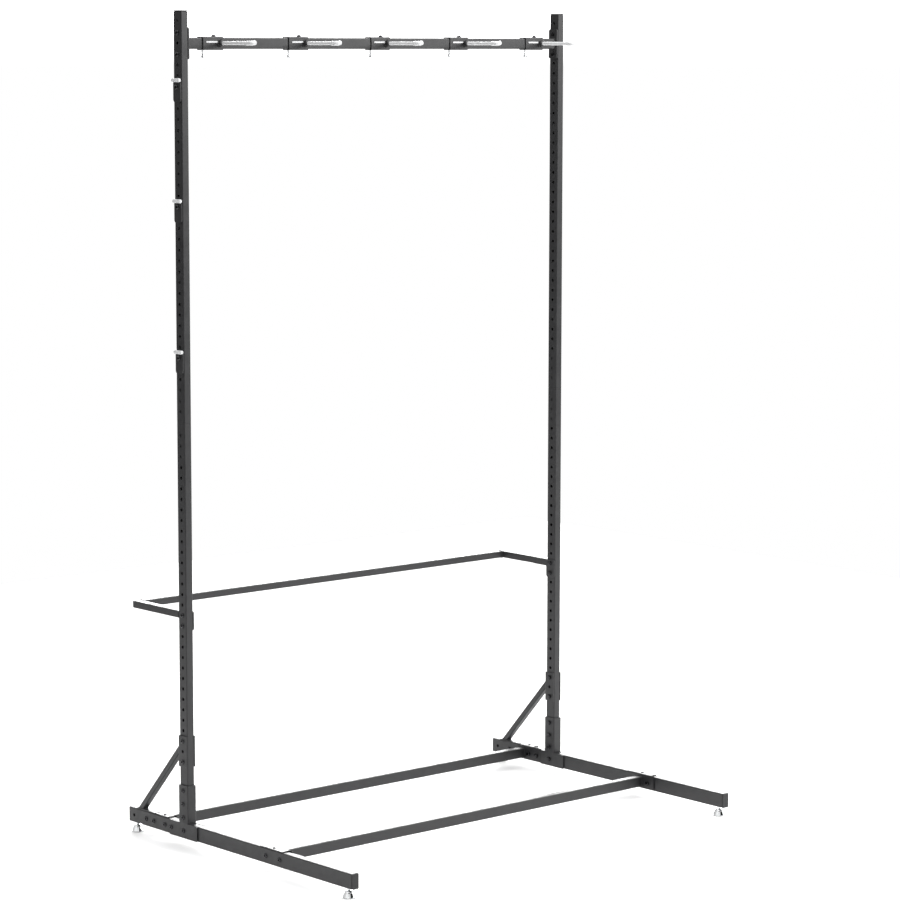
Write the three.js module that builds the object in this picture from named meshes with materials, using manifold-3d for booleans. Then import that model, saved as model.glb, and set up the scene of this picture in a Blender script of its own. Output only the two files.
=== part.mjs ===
import * as THREE from 'three';
import { mergeVertices } from 'three/addons/utils/BufferGeometryUtils.js';
import Module from 'manifold-3d';

const wasm = await Module();
wasm.setup();

// Vertical bike stand. Lengths are millimetres: +X runs along the beam to the right,
// +Y to the back, +Z up. Heights are measured from the floor.

// Driving dimensions of the whole stand
const uprightSpacing = 1178;
const uprightTop = 1962;
const legLift = 22.5;
const legFront = 625;
const legRear = 223.5;
const fitGap = 0.3;
const cutOverrun = 4;
const tubeCorner = 2.5;
const cornerSteps = 2;

// Uprights: two perforated tubes end to end with a joiner inside
const uprightWidth = 20;
const uprightDepth = 30;
const uprightWall = 1.5;
const uprightSeam = 1010;
const holePitch = 25;
const holeDiameter = 8;
const holeSides = 6;
const lowerHoleStart = 206;
const upperHoleOffset = 27;
const holeEndMargin = 16;
const joinerHalfLength = 100;
const joinerWall = 1.5;
const joinerCorner = 1;
const topCapFlange = 3;
const plugDepth = 12;
const plugCorner = 1.2;

// Legs and their end caps
const legWidth = 20;
const legHeight = 36;
const legWall = 1.5;
const legCapFlange = 2.5;

// Levelling feet: a chromed cup on the floor and a threaded stem in a weld nut
const footInset = 22;
const cupRadius = 16.25;
const cupRim = 2.5;
const cupShoulderRadius = 11;
const cupShoulderHeight = 13.5;
const cupTopRadius = 7;
const cupHeight = 17;
const cupBoreFloor = 5;
const stemRadius = 4;
const stemReach = 27;
const stemSides = 12;
const nutRadius = 7.5;
const nutHeight = 6.5;
const footSides = 16;

// Socket that carries the upright on the leg
const socketPlate = 2.7;
const socketTop = 150;
const socketFront = 54;
const socketRear = 55;
const socketBoltTop = 138.5;
const socketBoltPitch = 32;
const socketBolts = 4;
const boltHeadRadius = 5.5;
const boltHeadHeight = 2.6;
const boltNutRadius = 6.2;
const boltNutHeight = 4.5;

// Brace from the back of the upright down to the leg
const bracePlate = 2.5;
const braceBottom = 194;
const braceTop = 268.5;
const braceHole = 231;
const strutWidth = 16;
const strutThickness = 14;
const strutWall = 1.5;
const strutMeetsUpright = 236.5;
const strutMeetsLeg = 179.1;
const braceFootFront = 117;
const braceFootRear = 192;
const braceCheekRear = 165;
const braceCheekDrop = 30;

// Floor cross bars between the legs
const barHeight = 26;
const barDepth = 20;
const barWall = 1.5;
const barPlate = 3;
const barFlange = 2;
const rearBarFront = 94.7;
const rearPlateFront = 33;
const rearFlangeFront = 66;
const frontBarFront = -344.2;
const frontPlateFront = -386;
const frontPlateRear = -292;
const frontFlangeFront = -374;

// Wheel rest: two arms to the back and a bar that the rear wheels lean on
const restTop = 565;
const restHeight = 17;
const restWall = 1.5;
const restCorner = 2;
const restReach = 198.5;
const restBarDepth = 14;
const restPlate = 3;
const restPlateDrop = 28;
const restPlateReach = 62;

// Beam that carries the hooks
const beamDrop = 75.5;
const beamHeight = 26;
const beamDepth = 20;
const beamWall = 1.8;
const beamPlate = 3.5;
const beamPlateHeight = 72.8;

// Bike hooks that slide along the beam
const hookCount = 5;
const hookMarginLeft = 74;
const hookMarginRight = 78;
const sleeveLength = 58;
const sleeveWall = 2.2;
const sleeveCorner = 2;
const rodRise = 0.5;
const rodOffset = 22;
const bossRadius = 8;
const bossLength = 8;
const bossSides = 10;
const rodRadius = 4.3;
const rodReach = 109;
const rodBend = 7.5;
const rodSides = 8;
const bendSteps = 3;
const gripRadius = 5.5;
const gripTurnLength = 3;
const gripTipLength = 5;
const gripTipRise = 1.5;
const stripHeight = 4.7;
const stripProud = 1;
const stripRise = 3.8;
const stripStart = 9.5;
const stripEnd = 16;
const topBoltOffset = 10;
const topBoltRadius = 6;
const topBoltHeight = 5;

// Thumb screw under each hook's sleeve
const lockOffset = -22;
const lockRadius = 2.5;
const lockDrop = 15;
const lockSides = 10;
const knobLength = 14;
const knobWidth = 4.5;
const knobHeight = 5;
const knobHubRadius = 4.5;
const knobHubHeight = 7;

// Helmet hooks on the outside of the left upright
const helmetLipDrops = [159.5, 436.5, 786];
const helmetPlate = 3;
const helmetWidth = 28;
const helmetDrop = 46;
const padRadius = 4.5;
const padProud = 9.6;
const padSides = 12;
const padShiftFront = 1;

// Heights and faces worked out from the sizes above
const legTop = legLift + legHeight;
const legMiddle = legLift + legHeight / 2;
const uprightX = uprightSpacing / 2;
const uprightInner = uprightX - uprightWidth / 2;
const legInner = uprightX - legWidth / 2;
const uprightBack = uprightDepth / 2;
const seatHeight = legTop + fitGap;
const beamCentre = uprightTop - beamDrop;

// Materials
function paint(color, roughness, metalness) {
  return new THREE.MeshStandardMaterial({ color, roughness, metalness });
}
const blackSteel = paint(0x2c2c2e, 0.45, 0.4);
const blackPlastic = paint(0x161617, 0.6, 0);
const chrome = paint(0xd8dadc, 0.12, 1);
const zincSteel = paint(0xb9bcc0, 0.35, 0.9);
const greyCoating = paint(0xc4c6c8, 0.5, 0);

// Booleans
function solidOf(geometry) {
  const bare = geometry.clone();
  bare.deleteAttribute('normal');
  bare.deleteAttribute('uv');
  const welded = mergeVertices(bare);
  return new wasm.Manifold(new wasm.Mesh({
    numProp: 3,
    vertProperties: new Float32Array(welded.attributes.position.array),
    triVerts: new Uint32Array(welded.index.array),
  }));
}

function geometryOf(solid) {
  const mesh = solid.getMesh();
  const geometry = new THREE.BufferGeometry();
  geometry.setAttribute('position', new THREE.BufferAttribute(mesh.vertProperties, mesh.numProp));
  geometry.setIndex(new THREE.BufferAttribute(mesh.triVerts, 1));
  return geometry;
}

function join(...geometries) {
  return geometryOf(geometries.map(solidOf).reduce((all, next) => all.add(next)));
}

function cut(geometry, ...cutters) {
  const tool = cutters.map(solidOf).reduce((all, next) => all.add(next));
  return geometryOf(solidOf(geometry).subtract(tool));
}

function keep(geometry, region) {
  return geometryOf(solidOf(geometry).intersect(solidOf(region)));
}

// Shapes
function block(x0, x1, y0, y1, z0, z1) {
  const size = [Math.abs(x1 - x0), Math.abs(y1 - y0), Math.abs(z1 - z0)];
  const geometry = new THREE.BoxGeometry(...size);
  return geometry.translate((x0 + x1) / 2, (y0 + y1) / 2, (z0 + z1) / 2);
}

function roundedRectangle(width, height, radius, path = new THREE.Shape()) {
  const x = width / 2 - radius;
  const y = height / 2 - radius;
  path.absarc(x, -y, radius, -Math.PI / 2, 0);
  path.absarc(x, y, radius, 0, Math.PI / 2);
  path.absarc(-x, y, radius, Math.PI / 2, Math.PI);
  path.absarc(-x, -y, radius, Math.PI, Math.PI * 1.5);
  path.closePath();
  return path;
}

// Turns a geometry made along Z so that its length runs along another axis:
// on 'x' the section's two sides lie along Y and Z, on 'y' along Z and X
const turns = {
  x: new THREE.Matrix4().set(0, 0, 1, 0, 1, 0, 0, 0, 0, 1, 0, 0, 0, 0, 0, 1),
  y: new THREE.Matrix4().set(0, 1, 0, 0, 0, 0, 1, 0, 1, 0, 0, 0, 0, 0, 0, 1),
  z: new THREE.Matrix4(),
};

function bar(axis, width, height, corner, from, to) {
  const shape = roundedRectangle(width, height, corner);
  const options = { depth: to - from, bevelEnabled: false, curveSegments: cornerSteps };
  return new THREE.ExtrudeGeometry(shape, options).translate(0, 0, from).applyMatrix4(turns[axis]);
}

function tube(axis, width, height, wall, corner, from, to) {
  const shape = roundedRectangle(width, height, corner);
  const bore = new THREE.Path();
  const halfWidth = width / 2 - wall;
  const halfHeight = height / 2 - wall;
  bore.moveTo(-halfWidth, -halfHeight);
  bore.lineTo(-halfWidth, halfHeight);
  bore.lineTo(halfWidth, halfHeight);
  bore.lineTo(halfWidth, -halfHeight);
  bore.closePath();
  shape.holes.push(bore);
  const options = { depth: to - from, bevelEnabled: false, curveSegments: cornerSteps };
  return new THREE.ExtrudeGeometry(shape, options).translate(0, 0, from).applyMatrix4(turns[axis]);
}

function pin(axis, radius, sides, from, to) {
  const geometry = new THREE.CylinderGeometry(radius, radius, to - from, sides);
  geometry.rotateX(Math.PI / 2).translate(0, 0, (from + to) / 2);
  return geometry.applyMatrix4(turns[axis]);
}

// Round rod through a list of stations, each with its point and radius
function rod(stations, sides) {
  const points = stations.map((station) => station.point);
  const rings = [];
  const firstStep = points[1].clone().sub(points[0]).normalize();
  let side = new THREE.Vector3(0, 0, 1).cross(firstStep).normalize();
  points.forEach((point, index) => {
    const before = points[Math.max(index - 1, 0)];
    const after = points[Math.min(index + 1, points.length - 1)];
    const along = after.clone().sub(before).normalize();
    side = side.clone().addScaledVector(along, -side.dot(along)).normalize();
    const up = along.clone().cross(side);
    for (let corner = 0; corner < sides; corner += 1) {
      const angle = (corner / sides) * Math.PI * 2;
      const offset = side.clone().multiplyScalar(Math.cos(angle)).addScaledVector(up, Math.sin(angle));
      rings.push(point.clone().addScaledVector(offset, stations[index].radius));
    }
  });
  rings.push(points[0], points[points.length - 1]);
  const triangles = [];
  const lastRing = (points.length - 1) * sides;
  for (let corner = 0; corner < sides; corner += 1) {
    const next = (corner + 1) % sides;
    for (let start = 0; start < lastRing; start += sides) {
      triangles.push(start + corner, start + next, start + sides + next);
      triangles.push(start + corner, start + sides + next, start + sides + corner);
    }
    triangles.push(rings.length - 2, next, corner);
    triangles.push(rings.length - 1, lastRing + corner, lastRing + next);
  }
  const geometry = new THREE.BufferGeometry().setFromPoints(rings);
  geometry.setIndex(triangles);
  return geometry;
}

// The assembly, every piece drawn about the middle of the two uprights
const stand = new THREE.Group();

function add(name, geometry, material, x = 0, y = 0, z = 0) {
  const mesh = new THREE.Mesh(geometry, material);
  mesh.name = name;
  mesh.position.set(x, y, z);
  stand.add(mesh);
  return mesh;
}

function holeCutters(firstHeight, bottom, top, diameter) {
  const cutters = [];
  const reach = uprightWidth / 2 + cutOverrun;
  for (let height = firstHeight; height < top - holeEndMargin; height += holePitch) {
    if (height > bottom + holeEndMargin) {
      cutters.push(pin('x', diameter / 2, holeSides, -reach, reach).translate(0, 0, height));
    }
  }
  return cutters;
}

function perforatedTube(firstHeight, bottom, top) {
  const plain = tube('z', uprightWidth, uprightDepth, uprightWall, tubeCorner, bottom, top);
  return cut(plain, ...holeCutters(firstHeight, bottom, top, holeDiameter));
}

function plugCap(axis, width, height, wall, flange, face) {
  const reach = face > 0 ? -1 : 1;
  const plugWidth = width - 2 * (wall + fitGap);
  const plugHeight = height - 2 * (wall + fitGap);
  const flangeEnds = [face, face + reach * flange].sort((a, b) => a - b);
  const plugEnds = [face, face + reach * (flange + plugDepth)].sort((a, b) => a - b);
  const head = bar(axis, width, height, tubeCorner, ...flangeEnds);
  return join(head, bar(axis, plugWidth, plugHeight, plugCorner, ...plugEnds));
}

// Uprights
const upperTubeTop = uprightTop - topCapFlange - fitGap;
function addUpright(name, x) {
  const lower = perforatedTube(lowerHoleStart, seatHeight, uprightSeam - fitGap);
  add(`${name}_upright_lower`, lower, blackSteel, x);
  const upper = perforatedTube(uprightSeam + upperHoleOffset, uprightSeam, upperTubeTop);
  add(`${name}_upright_upper`, upper, blackSteel, x);
  const joinerWidth = uprightWidth - 2 * (uprightWall + fitGap);
  const joinerDepth = uprightDepth - 2 * (uprightWall + fitGap);
  const joinerEnds = [uprightSeam - joinerHalfLength, uprightSeam + joinerHalfLength];
  const joiner = tube('z', joinerWidth, joinerDepth, joinerWall, joinerCorner, ...joinerEnds);
  add(`${name}_upright_joiner`, joiner, blackSteel, x);
  const cap = plugCap('z', uprightWidth, uprightDepth, uprightWall, topCapFlange, uprightTop);
  add(`${name}_top_cap`, cap, blackPlastic, x);
}

// Legs, with a weld nut inside over each foot
const footPlaces = { front: -legFront + footInset, rear: legRear - footInset };
function addLeg(name, x) {
  const ends = [-legFront + legCapFlange + fitGap, legRear - legCapFlange - fitGap];
  const body = tube('y', legHeight, legWidth, legWall, tubeCorner, ...ends);
  body.translate(0, 0, legMiddle);
  const nutTop = legLift + legWall + nutHeight;
  const nuts = Object.values(footPlaces).map((y) => (
    pin('z', nutRadius, holeSides, legLift, nutTop).translate(0, y, 0)
  ));
  const bores = Object.values(footPlaces).map((y) => (
    pin('z', stemRadius + fitGap, stemSides, legLift - cutOverrun, nutTop + cutOverrun).translate(0, y, 0)
  ));
  add(`${name}_leg`, cut(join(body, ...nuts), ...bores), blackSteel, x);
  const frontCap = plugCap('y', legHeight, legWidth, legWall, legCapFlange, -legFront);
  add(`${name}_leg_cap_front`, frontCap, blackPlastic, x, 0, legMiddle);
  const rearCap = plugCap('y', legHeight, legWidth, legWall, legCapFlange, legRear);
  add(`${name}_leg_cap_rear`, rearCap, blackPlastic, x, 0, legMiddle);
}

function addFoot(name, x, y) {
  const profile = [
    [0, 0],
    [cupRadius, 0],
    [cupRadius, cupRim],
    [cupShoulderRadius, cupShoulderHeight],
    [cupTopRadius, cupHeight],
    [stemRadius + fitGap, cupHeight],
    [stemRadius + fitGap, cupBoreFloor],
    [0, cupBoreFloor],
  ].map(([radius, height]) => new THREE.Vector2(radius, height));
  const cup = new THREE.LatheGeometry(profile, footSides).rotateX(Math.PI / 2);
  add(`${name}_foot_cup`, cup, chrome, x, y);
  const stem = pin('z', stemRadius, stemSides, cupBoreFloor + fitGap, legLift + stemReach);
  add(`${name}_foot_stem`, stem, chrome, x, y);
}

// Head of a bolt on the outer side and its nut on the inner side of a bracket
function boltEnds(outward, outerFace, innerFace, height) {
  const head = pin('x', boltHeadRadius, bossSides, outerFace - fitGap, outerFace + boltHeadHeight);
  const nut = pin('x', boltNutRadius, holeSides, innerFace - fitGap, innerFace + boltNutHeight);
  if (outward < 0) head.rotateZ(Math.PI);
  if (outward > 0) nut.rotateZ(Math.PI);
  return [head.translate(0, 0, height), nut.translate(0, 0, height)];
}

function addSocket(name, x, outward) {
  const inner = uprightWidth / 2 + fitGap;
  const outer = inner + socketPlate;
  const sleeveBack = uprightBack + fitGap + socketPlate;
  const plateOutline = (rear) => {
    const shape = new THREE.Shape();
    shape.moveTo(-socketFront, legLift);
    shape.lineTo(rear, legLift);
    shape.lineTo(rear, legTop);
    shape.lineTo(sleeveBack, legTop);
    shape.lineTo(sleeveBack, socketTop);
    shape.lineTo(-sleeveBack, socketTop);
    shape.lineTo(-sleeveBack, legTop);
    shape.lineTo(-socketFront, legTop);
    shape.closePath();
    return shape;
  };
  const plate = (side, rear) => {
    const options = { depth: socketPlate, bevelEnabled: false };
    const geometry = new THREE.ExtrudeGeometry(plateOutline(rear), options);
    return geometry.applyMatrix4(turns.x).translate(side > 0 ? inner : -outer, 0, 0);
  };
  const web = (from, to) => block(-outer, outer, from, to, seatHeight, socketTop);
  const pieces = [
    plate(outward, socketRear),
    plate(-outward, rearPlateFront - fitGap),
    web(-sleeveBack, -uprightBack - fitGap),
    web(uprightBack + fitGap, sleeveBack),
  ];
  for (let bolt = 0; bolt < socketBolts; bolt += 1) {
    pieces.push(...boltEnds(outward, outer, outer, socketBoltTop - bolt * socketBoltPitch));
  }
  add(`${name}_socket`, join(...pieces), blackSteel, x);
}

function addBrace(name, x, outward) {
  const inner = uprightWidth / 2 + fitGap;
  const outer = inner + bracePlate;
  const webFront = uprightBack + fitGap;
  const webRear = webFront + bracePlate;
  const flangeTop = seatHeight + bracePlate;
  const reach = cutOverrun + outer;
  const rise = strutMeetsUpright - flangeTop;
  const run = strutMeetsLeg - webRear;
  const length = Math.hypot(rise, run) + strutThickness * 2;
  const lean = Math.atan2(run, rise);
  const place = (geometry) => {
    const middle = [0, (webRear + strutMeetsLeg) / 2, (flangeTop + strutMeetsUpright) / 2];
    return geometry.rotateX(lean).translate(...middle);
  };
  const solidStrut = place(block(-strutWidth / 2, strutWidth / 2,
    -strutThickness / 2, strutThickness / 2, -length / 2, length / 2));
  const region = block(-reach, reach, webFront, braceFootRear, seatHeight, braceTop);
  const boreHalfWidth = strutWidth / 2 - strutWall;
  const boreHalfThickness = strutThickness / 2 - strutWall;
  const bore = place(block(-boreHalfWidth, boreHalfWidth,
    -boreHalfThickness, boreHalfThickness, -length, length));
  const cheekInner = -outward * (legWidth / 2 + fitGap);
  const cheekOuter = -outward * (legWidth / 2 + fitGap + bracePlate);
  const flangeEdge = outward * legWidth / 2;
  const pieces = [
    block(-outer, outer, webFront, webRear, braceBottom, braceTop),
    block(-outer, -inner, -uprightBack, webRear, braceBottom, braceTop),
    block(inner, outer, -uprightBack, webRear, braceBottom, braceTop),
    keep(solidStrut, region),
    block(flangeEdge, cheekOuter, braceFootFront, braceFootRear, seatHeight, flangeTop),
    block(cheekInner, cheekOuter, braceFootFront, braceCheekRear, legTop - braceCheekDrop, flangeTop),
  ];
  const boltGap = holePitch;
  [braceHole - boltGap, braceHole + boltGap].forEach((height) => {
    pieces.push(...boltEnds(outward, outer, outer, height));
  });
  const window = pin('x', holeDiameter / 2, holeSides, -reach, reach).translate(0, 0, braceHole);
  add(`${name}_brace`, cut(join(...pieces), bore, window), blackSteel, x);
}

// Cross bar with an end plate against each leg and a flange over the leg's top
function crossBar(barFront, plateFront, plateRear, flangeFront) {
  const middle = barFront + barDepth / 2;
  const end = legInner - fitGap;
  const body = tube('x', barDepth, barHeight, barWall, tubeCorner, -end, end);
  body.translate(0, middle, legMiddle);
  const bottom = legMiddle - barHeight / 2;
  const boreHalf = [barDepth / 2 - barWall, barHeight / 2 - barWall];
  const bore = block(-end - cutOverrun, end + cutOverrun, middle - boreHalf[0], middle + boreHalf[0],
    legMiddle - boreHalf[1], legMiddle + boreHalf[1]);
  const ends = [-1, 1].flatMap((side) => [
    block(side * (end - barPlate), side * end, plateFront, plateRear, bottom, seatHeight + barFlange),
    block(side * (end - barPlate), side * (legInner + legWidth),
      flangeFront, plateRear, seatHeight, seatHeight + barFlange),
  ]);
  return cut(join(body, ...ends), bore);
}

// Wheel rest
const restMiddle = restTop - restHeight / 2;
const restBarFront = restReach - restBarDepth;
function restArm(outward) {
  const plateOuter = uprightWidth / 2 + fitGap;
  const plateInner = plateOuter + restPlate;
  const armOuter = uprightWidth / 2;
  const armInner = plateOuter + restPlate / 2;
  const armWidth = armOuter + armInner;
  const armFront = uprightBack + fitGap;
  const body = tube('y', restHeight, armWidth, restWall, restCorner, armFront, restReach);
  body.translate(-outward * (armInner - armOuter) / 2, 0, restMiddle);
  const plateEnd = uprightBack - fitGap;
  const plate = block(-outward * plateOuter, -outward * plateInner, -plateEnd, plateEnd,
    restTop - restHeight - restPlateDrop, restTop);
  const tongue = block(-outward * plateOuter, -outward * plateInner, -plateEnd, restPlateReach,
    restTop - restHeight, restTop);
  return join(body, plate, tongue);
}

function restBar() {
  const armInner = uprightInner - fitGap - restPlate / 2;
  const end = armInner - fitGap;
  const body = tube('x', restBarDepth, restHeight, restWall, restCorner, -end, end);
  return body.translate(0, restBarFront + restBarDepth / 2, restMiddle);
}

// Beam with a tall end plate against each upright
function beam() {
  const end = uprightInner - fitGap;
  const body = tube('x', beamDepth, beamHeight, beamWall, tubeCorner, -end, end);
  const boreHalf = [beamDepth / 2 - beamWall, beamHeight / 2 - beamWall];
  const bore = block(-end - cutOverrun, end + cutOverrun, -boreHalf[0], boreHalf[0],
    -boreHalf[1], boreHalf[1]);
  const plates = [-1, 1].map((side) => block(side * (end - beamPlate), side * end,
    -uprightBack, uprightBack, -beamPlateHeight / 2, beamPlateHeight / 2));
  return cut(join(body, ...plates), bore);
}

// Bike hook, drawn about the beam's centre line
const sleeveDepth = beamDepth + 2 * (fitGap + sleeveWall);
const sleeveHeight = beamHeight + 2 * (fitGap + sleeveWall);
const sleeveFront = -sleeveDepth / 2;
const rodStart = sleeveFront - bossLength - fitGap;

function hookSleeve() {
  const half = sleeveLength / 2;
  const shell = tube('x', sleeveDepth, sleeveHeight, sleeveWall, sleeveCorner, -half, half);
  const boss = pin('y', bossRadius, bossSides, sleeveFront - bossLength, sleeveFront + sleeveWall / 2);
  boss.translate(rodOffset, 0, rodRise);
  const strip = block(stripStart - half, half - stripEnd, sleeveFront - stripProud, sleeveFront + sleeveWall / 2,
    stripRise - stripHeight / 2, stripRise + stripHeight / 2);
  const top = sleeveHeight / 2;
  const bolt = pin('z', topBoltRadius, bossSides, top - sleeveWall / 2, top + topBoltHeight);
  bolt.translate(topBoltOffset, 0, 0);
  const bore = pin('z', lockRadius + fitGap, lockSides, -top - cutOverrun, -top + sleeveWall + fitGap);
  bore.translate(lockOffset, 0, 0);
  return cut(join(shell, boss, strip, bolt), bore);
}

// Rod to the front that turns to the right and ends in a thicker, slightly raised grip
function hookRod() {
  const turnCentre = [rodOffset + rodBend, sleeveFront - rodReach + rodBend];
  const stations = [];
  const station = (x, y, z, radius) => stations.push({ point: new THREE.Vector3(x, y, z), radius });
  station(rodOffset, rodStart, rodRise, rodRadius);
  for (let step = 0; step <= bendSteps; step += 1) {
    const angle = Math.PI + (step / bendSteps) * Math.PI / 2;
    const x = turnCentre[0] + rodBend * Math.cos(angle);
    const y = turnCentre[1] + rodBend * Math.sin(angle);
    if (step === 0) {
      station(x, y + gripRadius, rodRise, rodRadius);
      station(x, y + gripRadius - fitGap, rodRise, gripRadius);
    }
    station(x, y, rodRise, gripRadius);
  }
  const lineY = sleeveFront - rodReach;
  const straightEnd = turnCentre[0] + gripTurnLength;
  station(straightEnd, lineY, rodRise, gripRadius);
  station(straightEnd + gripTipLength, lineY, rodRise + gripTipRise, gripRadius);
  return rod(stations, rodSides);
}

function lockScrew() {
  const top = -beamHeight / 2 - fitGap;
  const bottom = -sleeveHeight / 2 - lockDrop;
  return pin('z', lockRadius, lockSides, bottom, top).translate(lockOffset, 0, 0);
}

function lockKnob() {
  const top = -sleeveHeight / 2 - lockDrop + knobHubHeight / 2;
  const hub = pin('z', knobHubRadius, lockSides, top - knobHubHeight, top);
  const wing = block(-knobLength / 2, knobLength / 2, -knobWidth / 2, knobWidth / 2,
    top - knobHubHeight, top - knobHubHeight + knobHeight);
  const bore = pin('z', lockRadius + fitGap, lockSides,
    -sleeveHeight / 2 - lockDrop - fitGap, top + cutOverrun);
  return cut(join(hub, wing), bore);
}

// Helmet hook: a bolted strap with a padded lip at its top
const helmetFace = -(uprightX + uprightWidth / 2 + fitGap);
function helmetStrap() {
  const top = -padRadius - fitGap;
  const half = helmetWidth / 2;
  return block(helmetFace - helmetPlate, helmetFace, -half, half, top - helmetDrop, top);
}

function helmetPad() {
  const half = helmetWidth / 2;
  const middle = helmetFace + fitGap - padProud + padRadius;
  return pin('y', padRadius, padSides, -half, half).translate(middle, 0, 0);
}

for (const [name, outward] of [['left', -1], ['right', 1]]) {
  const x = outward * uprightX;
  addLeg(name, x);
  addSocket(name, x, outward);
  addUpright(name, x);
  addBrace(name, x, outward);
  add(`${name}_rest_arm`, restArm(outward), blackSteel, x);
  Object.entries(footPlaces).forEach(([end, y]) => addFoot(`${name}_${end}`, x, y));
}

const rearPlateRear = rearBarFront + barDepth;
const rearBar = crossBar(rearBarFront, rearPlateFront, rearPlateRear, rearFlangeFront);
add('rear_cross_bar', rearBar, blackSteel);
const frontBar = crossBar(frontBarFront, frontPlateFront, frontPlateRear, frontFlangeFront);
add('front_cross_bar', frontBar, blackSteel);
add('rest_bar', restBar(), blackSteel);
add('top_beam', beam(), blackSteel, 0, 0, beamCentre);

const firstHook = hookMarginLeft - uprightInner;
const lastHook = uprightInner - hookMarginRight;
const hookPitch = (lastHook - firstHook) / (hookCount - 1);
for (let index = 0; index < hookCount; index += 1) {
  const x = firstHook + index * hookPitch;
  const name = `hook_${index + 1}`;
  add(`${name}_sleeve`, hookSleeve(), blackSteel, x, 0, beamCentre);
  add(`${name}_rod`, hookRod(), greyCoating, x, 0, beamCentre);
  add(`${name}_lock_screw`, lockScrew(), zincSteel, x, 0, beamCentre);
  add(`${name}_lock_knob`, lockKnob(), zincSteel, x + lockOffset, 0, beamCentre);
}

helmetLipDrops.forEach((drop, index) => {
  const height = uprightTop - drop;
  const name = `helmet_hook_${index + 1}`;
  add(`${name}_strap`, helmetStrap(), blackSteel, 0, -padShiftFront, height);
  add(`${name}_pad`, helmetPad(), greyCoating, 0, -padShiftFront, height);
});

// The part's own frame has its origin on the floor under the middle of its box
const group = new THREE.Group();
const extent = new THREE.Box3().setFromObject(stand);
const centre = extent.getCenter(new THREE.Vector3());
stand.position.set(-centre.x, -centre.y, 0);
group.add(stand);
group.updateMatrixWorld(true);

export default group;
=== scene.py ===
"""Vertical bike stand: finished pieces, materials, light and camera on the packed frame."""
import math
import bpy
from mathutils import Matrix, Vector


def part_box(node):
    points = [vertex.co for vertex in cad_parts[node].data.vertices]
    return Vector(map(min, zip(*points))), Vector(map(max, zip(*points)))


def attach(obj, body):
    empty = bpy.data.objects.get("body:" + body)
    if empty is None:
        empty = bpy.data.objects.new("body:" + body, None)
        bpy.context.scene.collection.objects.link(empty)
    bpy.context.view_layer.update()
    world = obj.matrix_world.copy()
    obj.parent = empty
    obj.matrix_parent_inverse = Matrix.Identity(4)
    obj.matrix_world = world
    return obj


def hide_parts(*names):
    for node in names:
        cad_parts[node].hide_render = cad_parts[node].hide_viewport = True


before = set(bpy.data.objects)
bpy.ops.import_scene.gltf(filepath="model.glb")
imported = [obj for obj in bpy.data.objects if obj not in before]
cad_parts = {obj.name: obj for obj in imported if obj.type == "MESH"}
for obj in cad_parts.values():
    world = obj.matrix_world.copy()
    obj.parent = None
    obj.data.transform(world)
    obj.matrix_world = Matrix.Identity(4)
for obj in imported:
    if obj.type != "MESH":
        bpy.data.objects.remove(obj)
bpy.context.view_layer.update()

from types import SimpleNamespace

import bmesh
import bpy
from mathutils import Matrix, Vector

bl_info = {
    "name": "Vertical bike stand",
    "version": (1, 0, 0),
    "blender": (4, 5, 0),
    "location": "3D View > Sidebar > Bike stand",
    "description": "Finished pieces of a vertical stand for five bikes",
    "category": "Object",
}


# Sizes and colours

def length(name, description, metres):
    return bpy.props.FloatProperty(
        name=name, description=description, default=metres, unit="LENGTH", precision=5)


def colour(name, description, *channels):
    return bpy.props.FloatVectorProperty(
        name=name, description=description, default=channels, subtype="COLOR", size=3, min=0, max=1)


class TubeSizes(bpy.types.PropertyGroup):
    """Square and rectangular tube of the stand"""
    wall: length("Wall", "Wall of the uprights and legs", 0.0015)
    corner: length("Corner", "Outer corner radius of the large tubes", 0.0025)
    small_corner: length("Small corner", "Outer corner radius of the struts and the wheel rest", 0.002)
    mouth: length("Mouth", "Rounding of a tube's cut end", 0.0002)
    hole: length("Hole", "Diameter of the holes in the uprights", 0.008)
    hole_chamfer: length("Hole chamfer", "Chamfer round each hole", 0.0003)
    pitch: length("Pitch", "Distance between two holes", 0.025)
    lower_hole: length("Lower hole", "Height of the first hole in the lower uprights", 0.206)
    upper_hole: length("Upper hole", "Height of the first hole in the upper uprights", 1.037)
    margin: length("Margin", "Least distance from a hole to a tube's end", 0.016)
    leg_hole: length("Leg hole", "From the upright's middle back to the hole in the leg's side", 0.203)


class PlateSizes(bpy.types.PropertyGroup):
    """Bent and flat plate"""
    edge: length("Edge", "Rounding of the plates' edges", 0.0004)
    bend: length("Bend", "Outer radius of a bent corner", 0.0032)
    inner_bend: length("Inner bend", "Inner radius of a bent corner", 0.0007)
    corner: length("Corner", "Corner radius of a flat plate", 0.004)
    gap: length("Gap", "Gap between a bracket and its tube", 0.0003)
    socket: length("Socket", "Plate of the sockets", 0.0027)
    brace: length("Brace", "Plate of the braces", 0.0025)
    bar: length("Bar", "Plate at the cross bars' ends", 0.003)
    flange: length("Flange", "Flange of the cross bars over the legs", 0.002)
    rest: length("Rest", "Plate of the wheel rest's arms", 0.003)
    beam: length("Beam", "Plate at the beam's ends", 0.0035)


class FastenerSizes(bpy.types.PropertyGroup):
    """Screws, nuts and welds"""
    head: length("Head", "Diameter of a button head", 0.012)
    head_height: length("Head height", "Height of a button head", 0.0032)
    key: length("Key", "Across the flats of the hexagon socket", 0.0042)
    key_depth: length("Key depth", "Depth of the hexagon socket", 0.0022)
    nut: length("Nut", "Across the corners of a lock nut", 0.0122)
    nut_height: length("Nut height", "Height of a lock nut", 0.0044)
    small_head: length("Small head", "Diameter of the flange screws' heads", 0.0075)
    weld: length("Weld", "Width of a weld bead", 0.0026)
    weld_step: length("Weld step", "Distance between two ripples of a weld", 0.0012)


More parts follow.
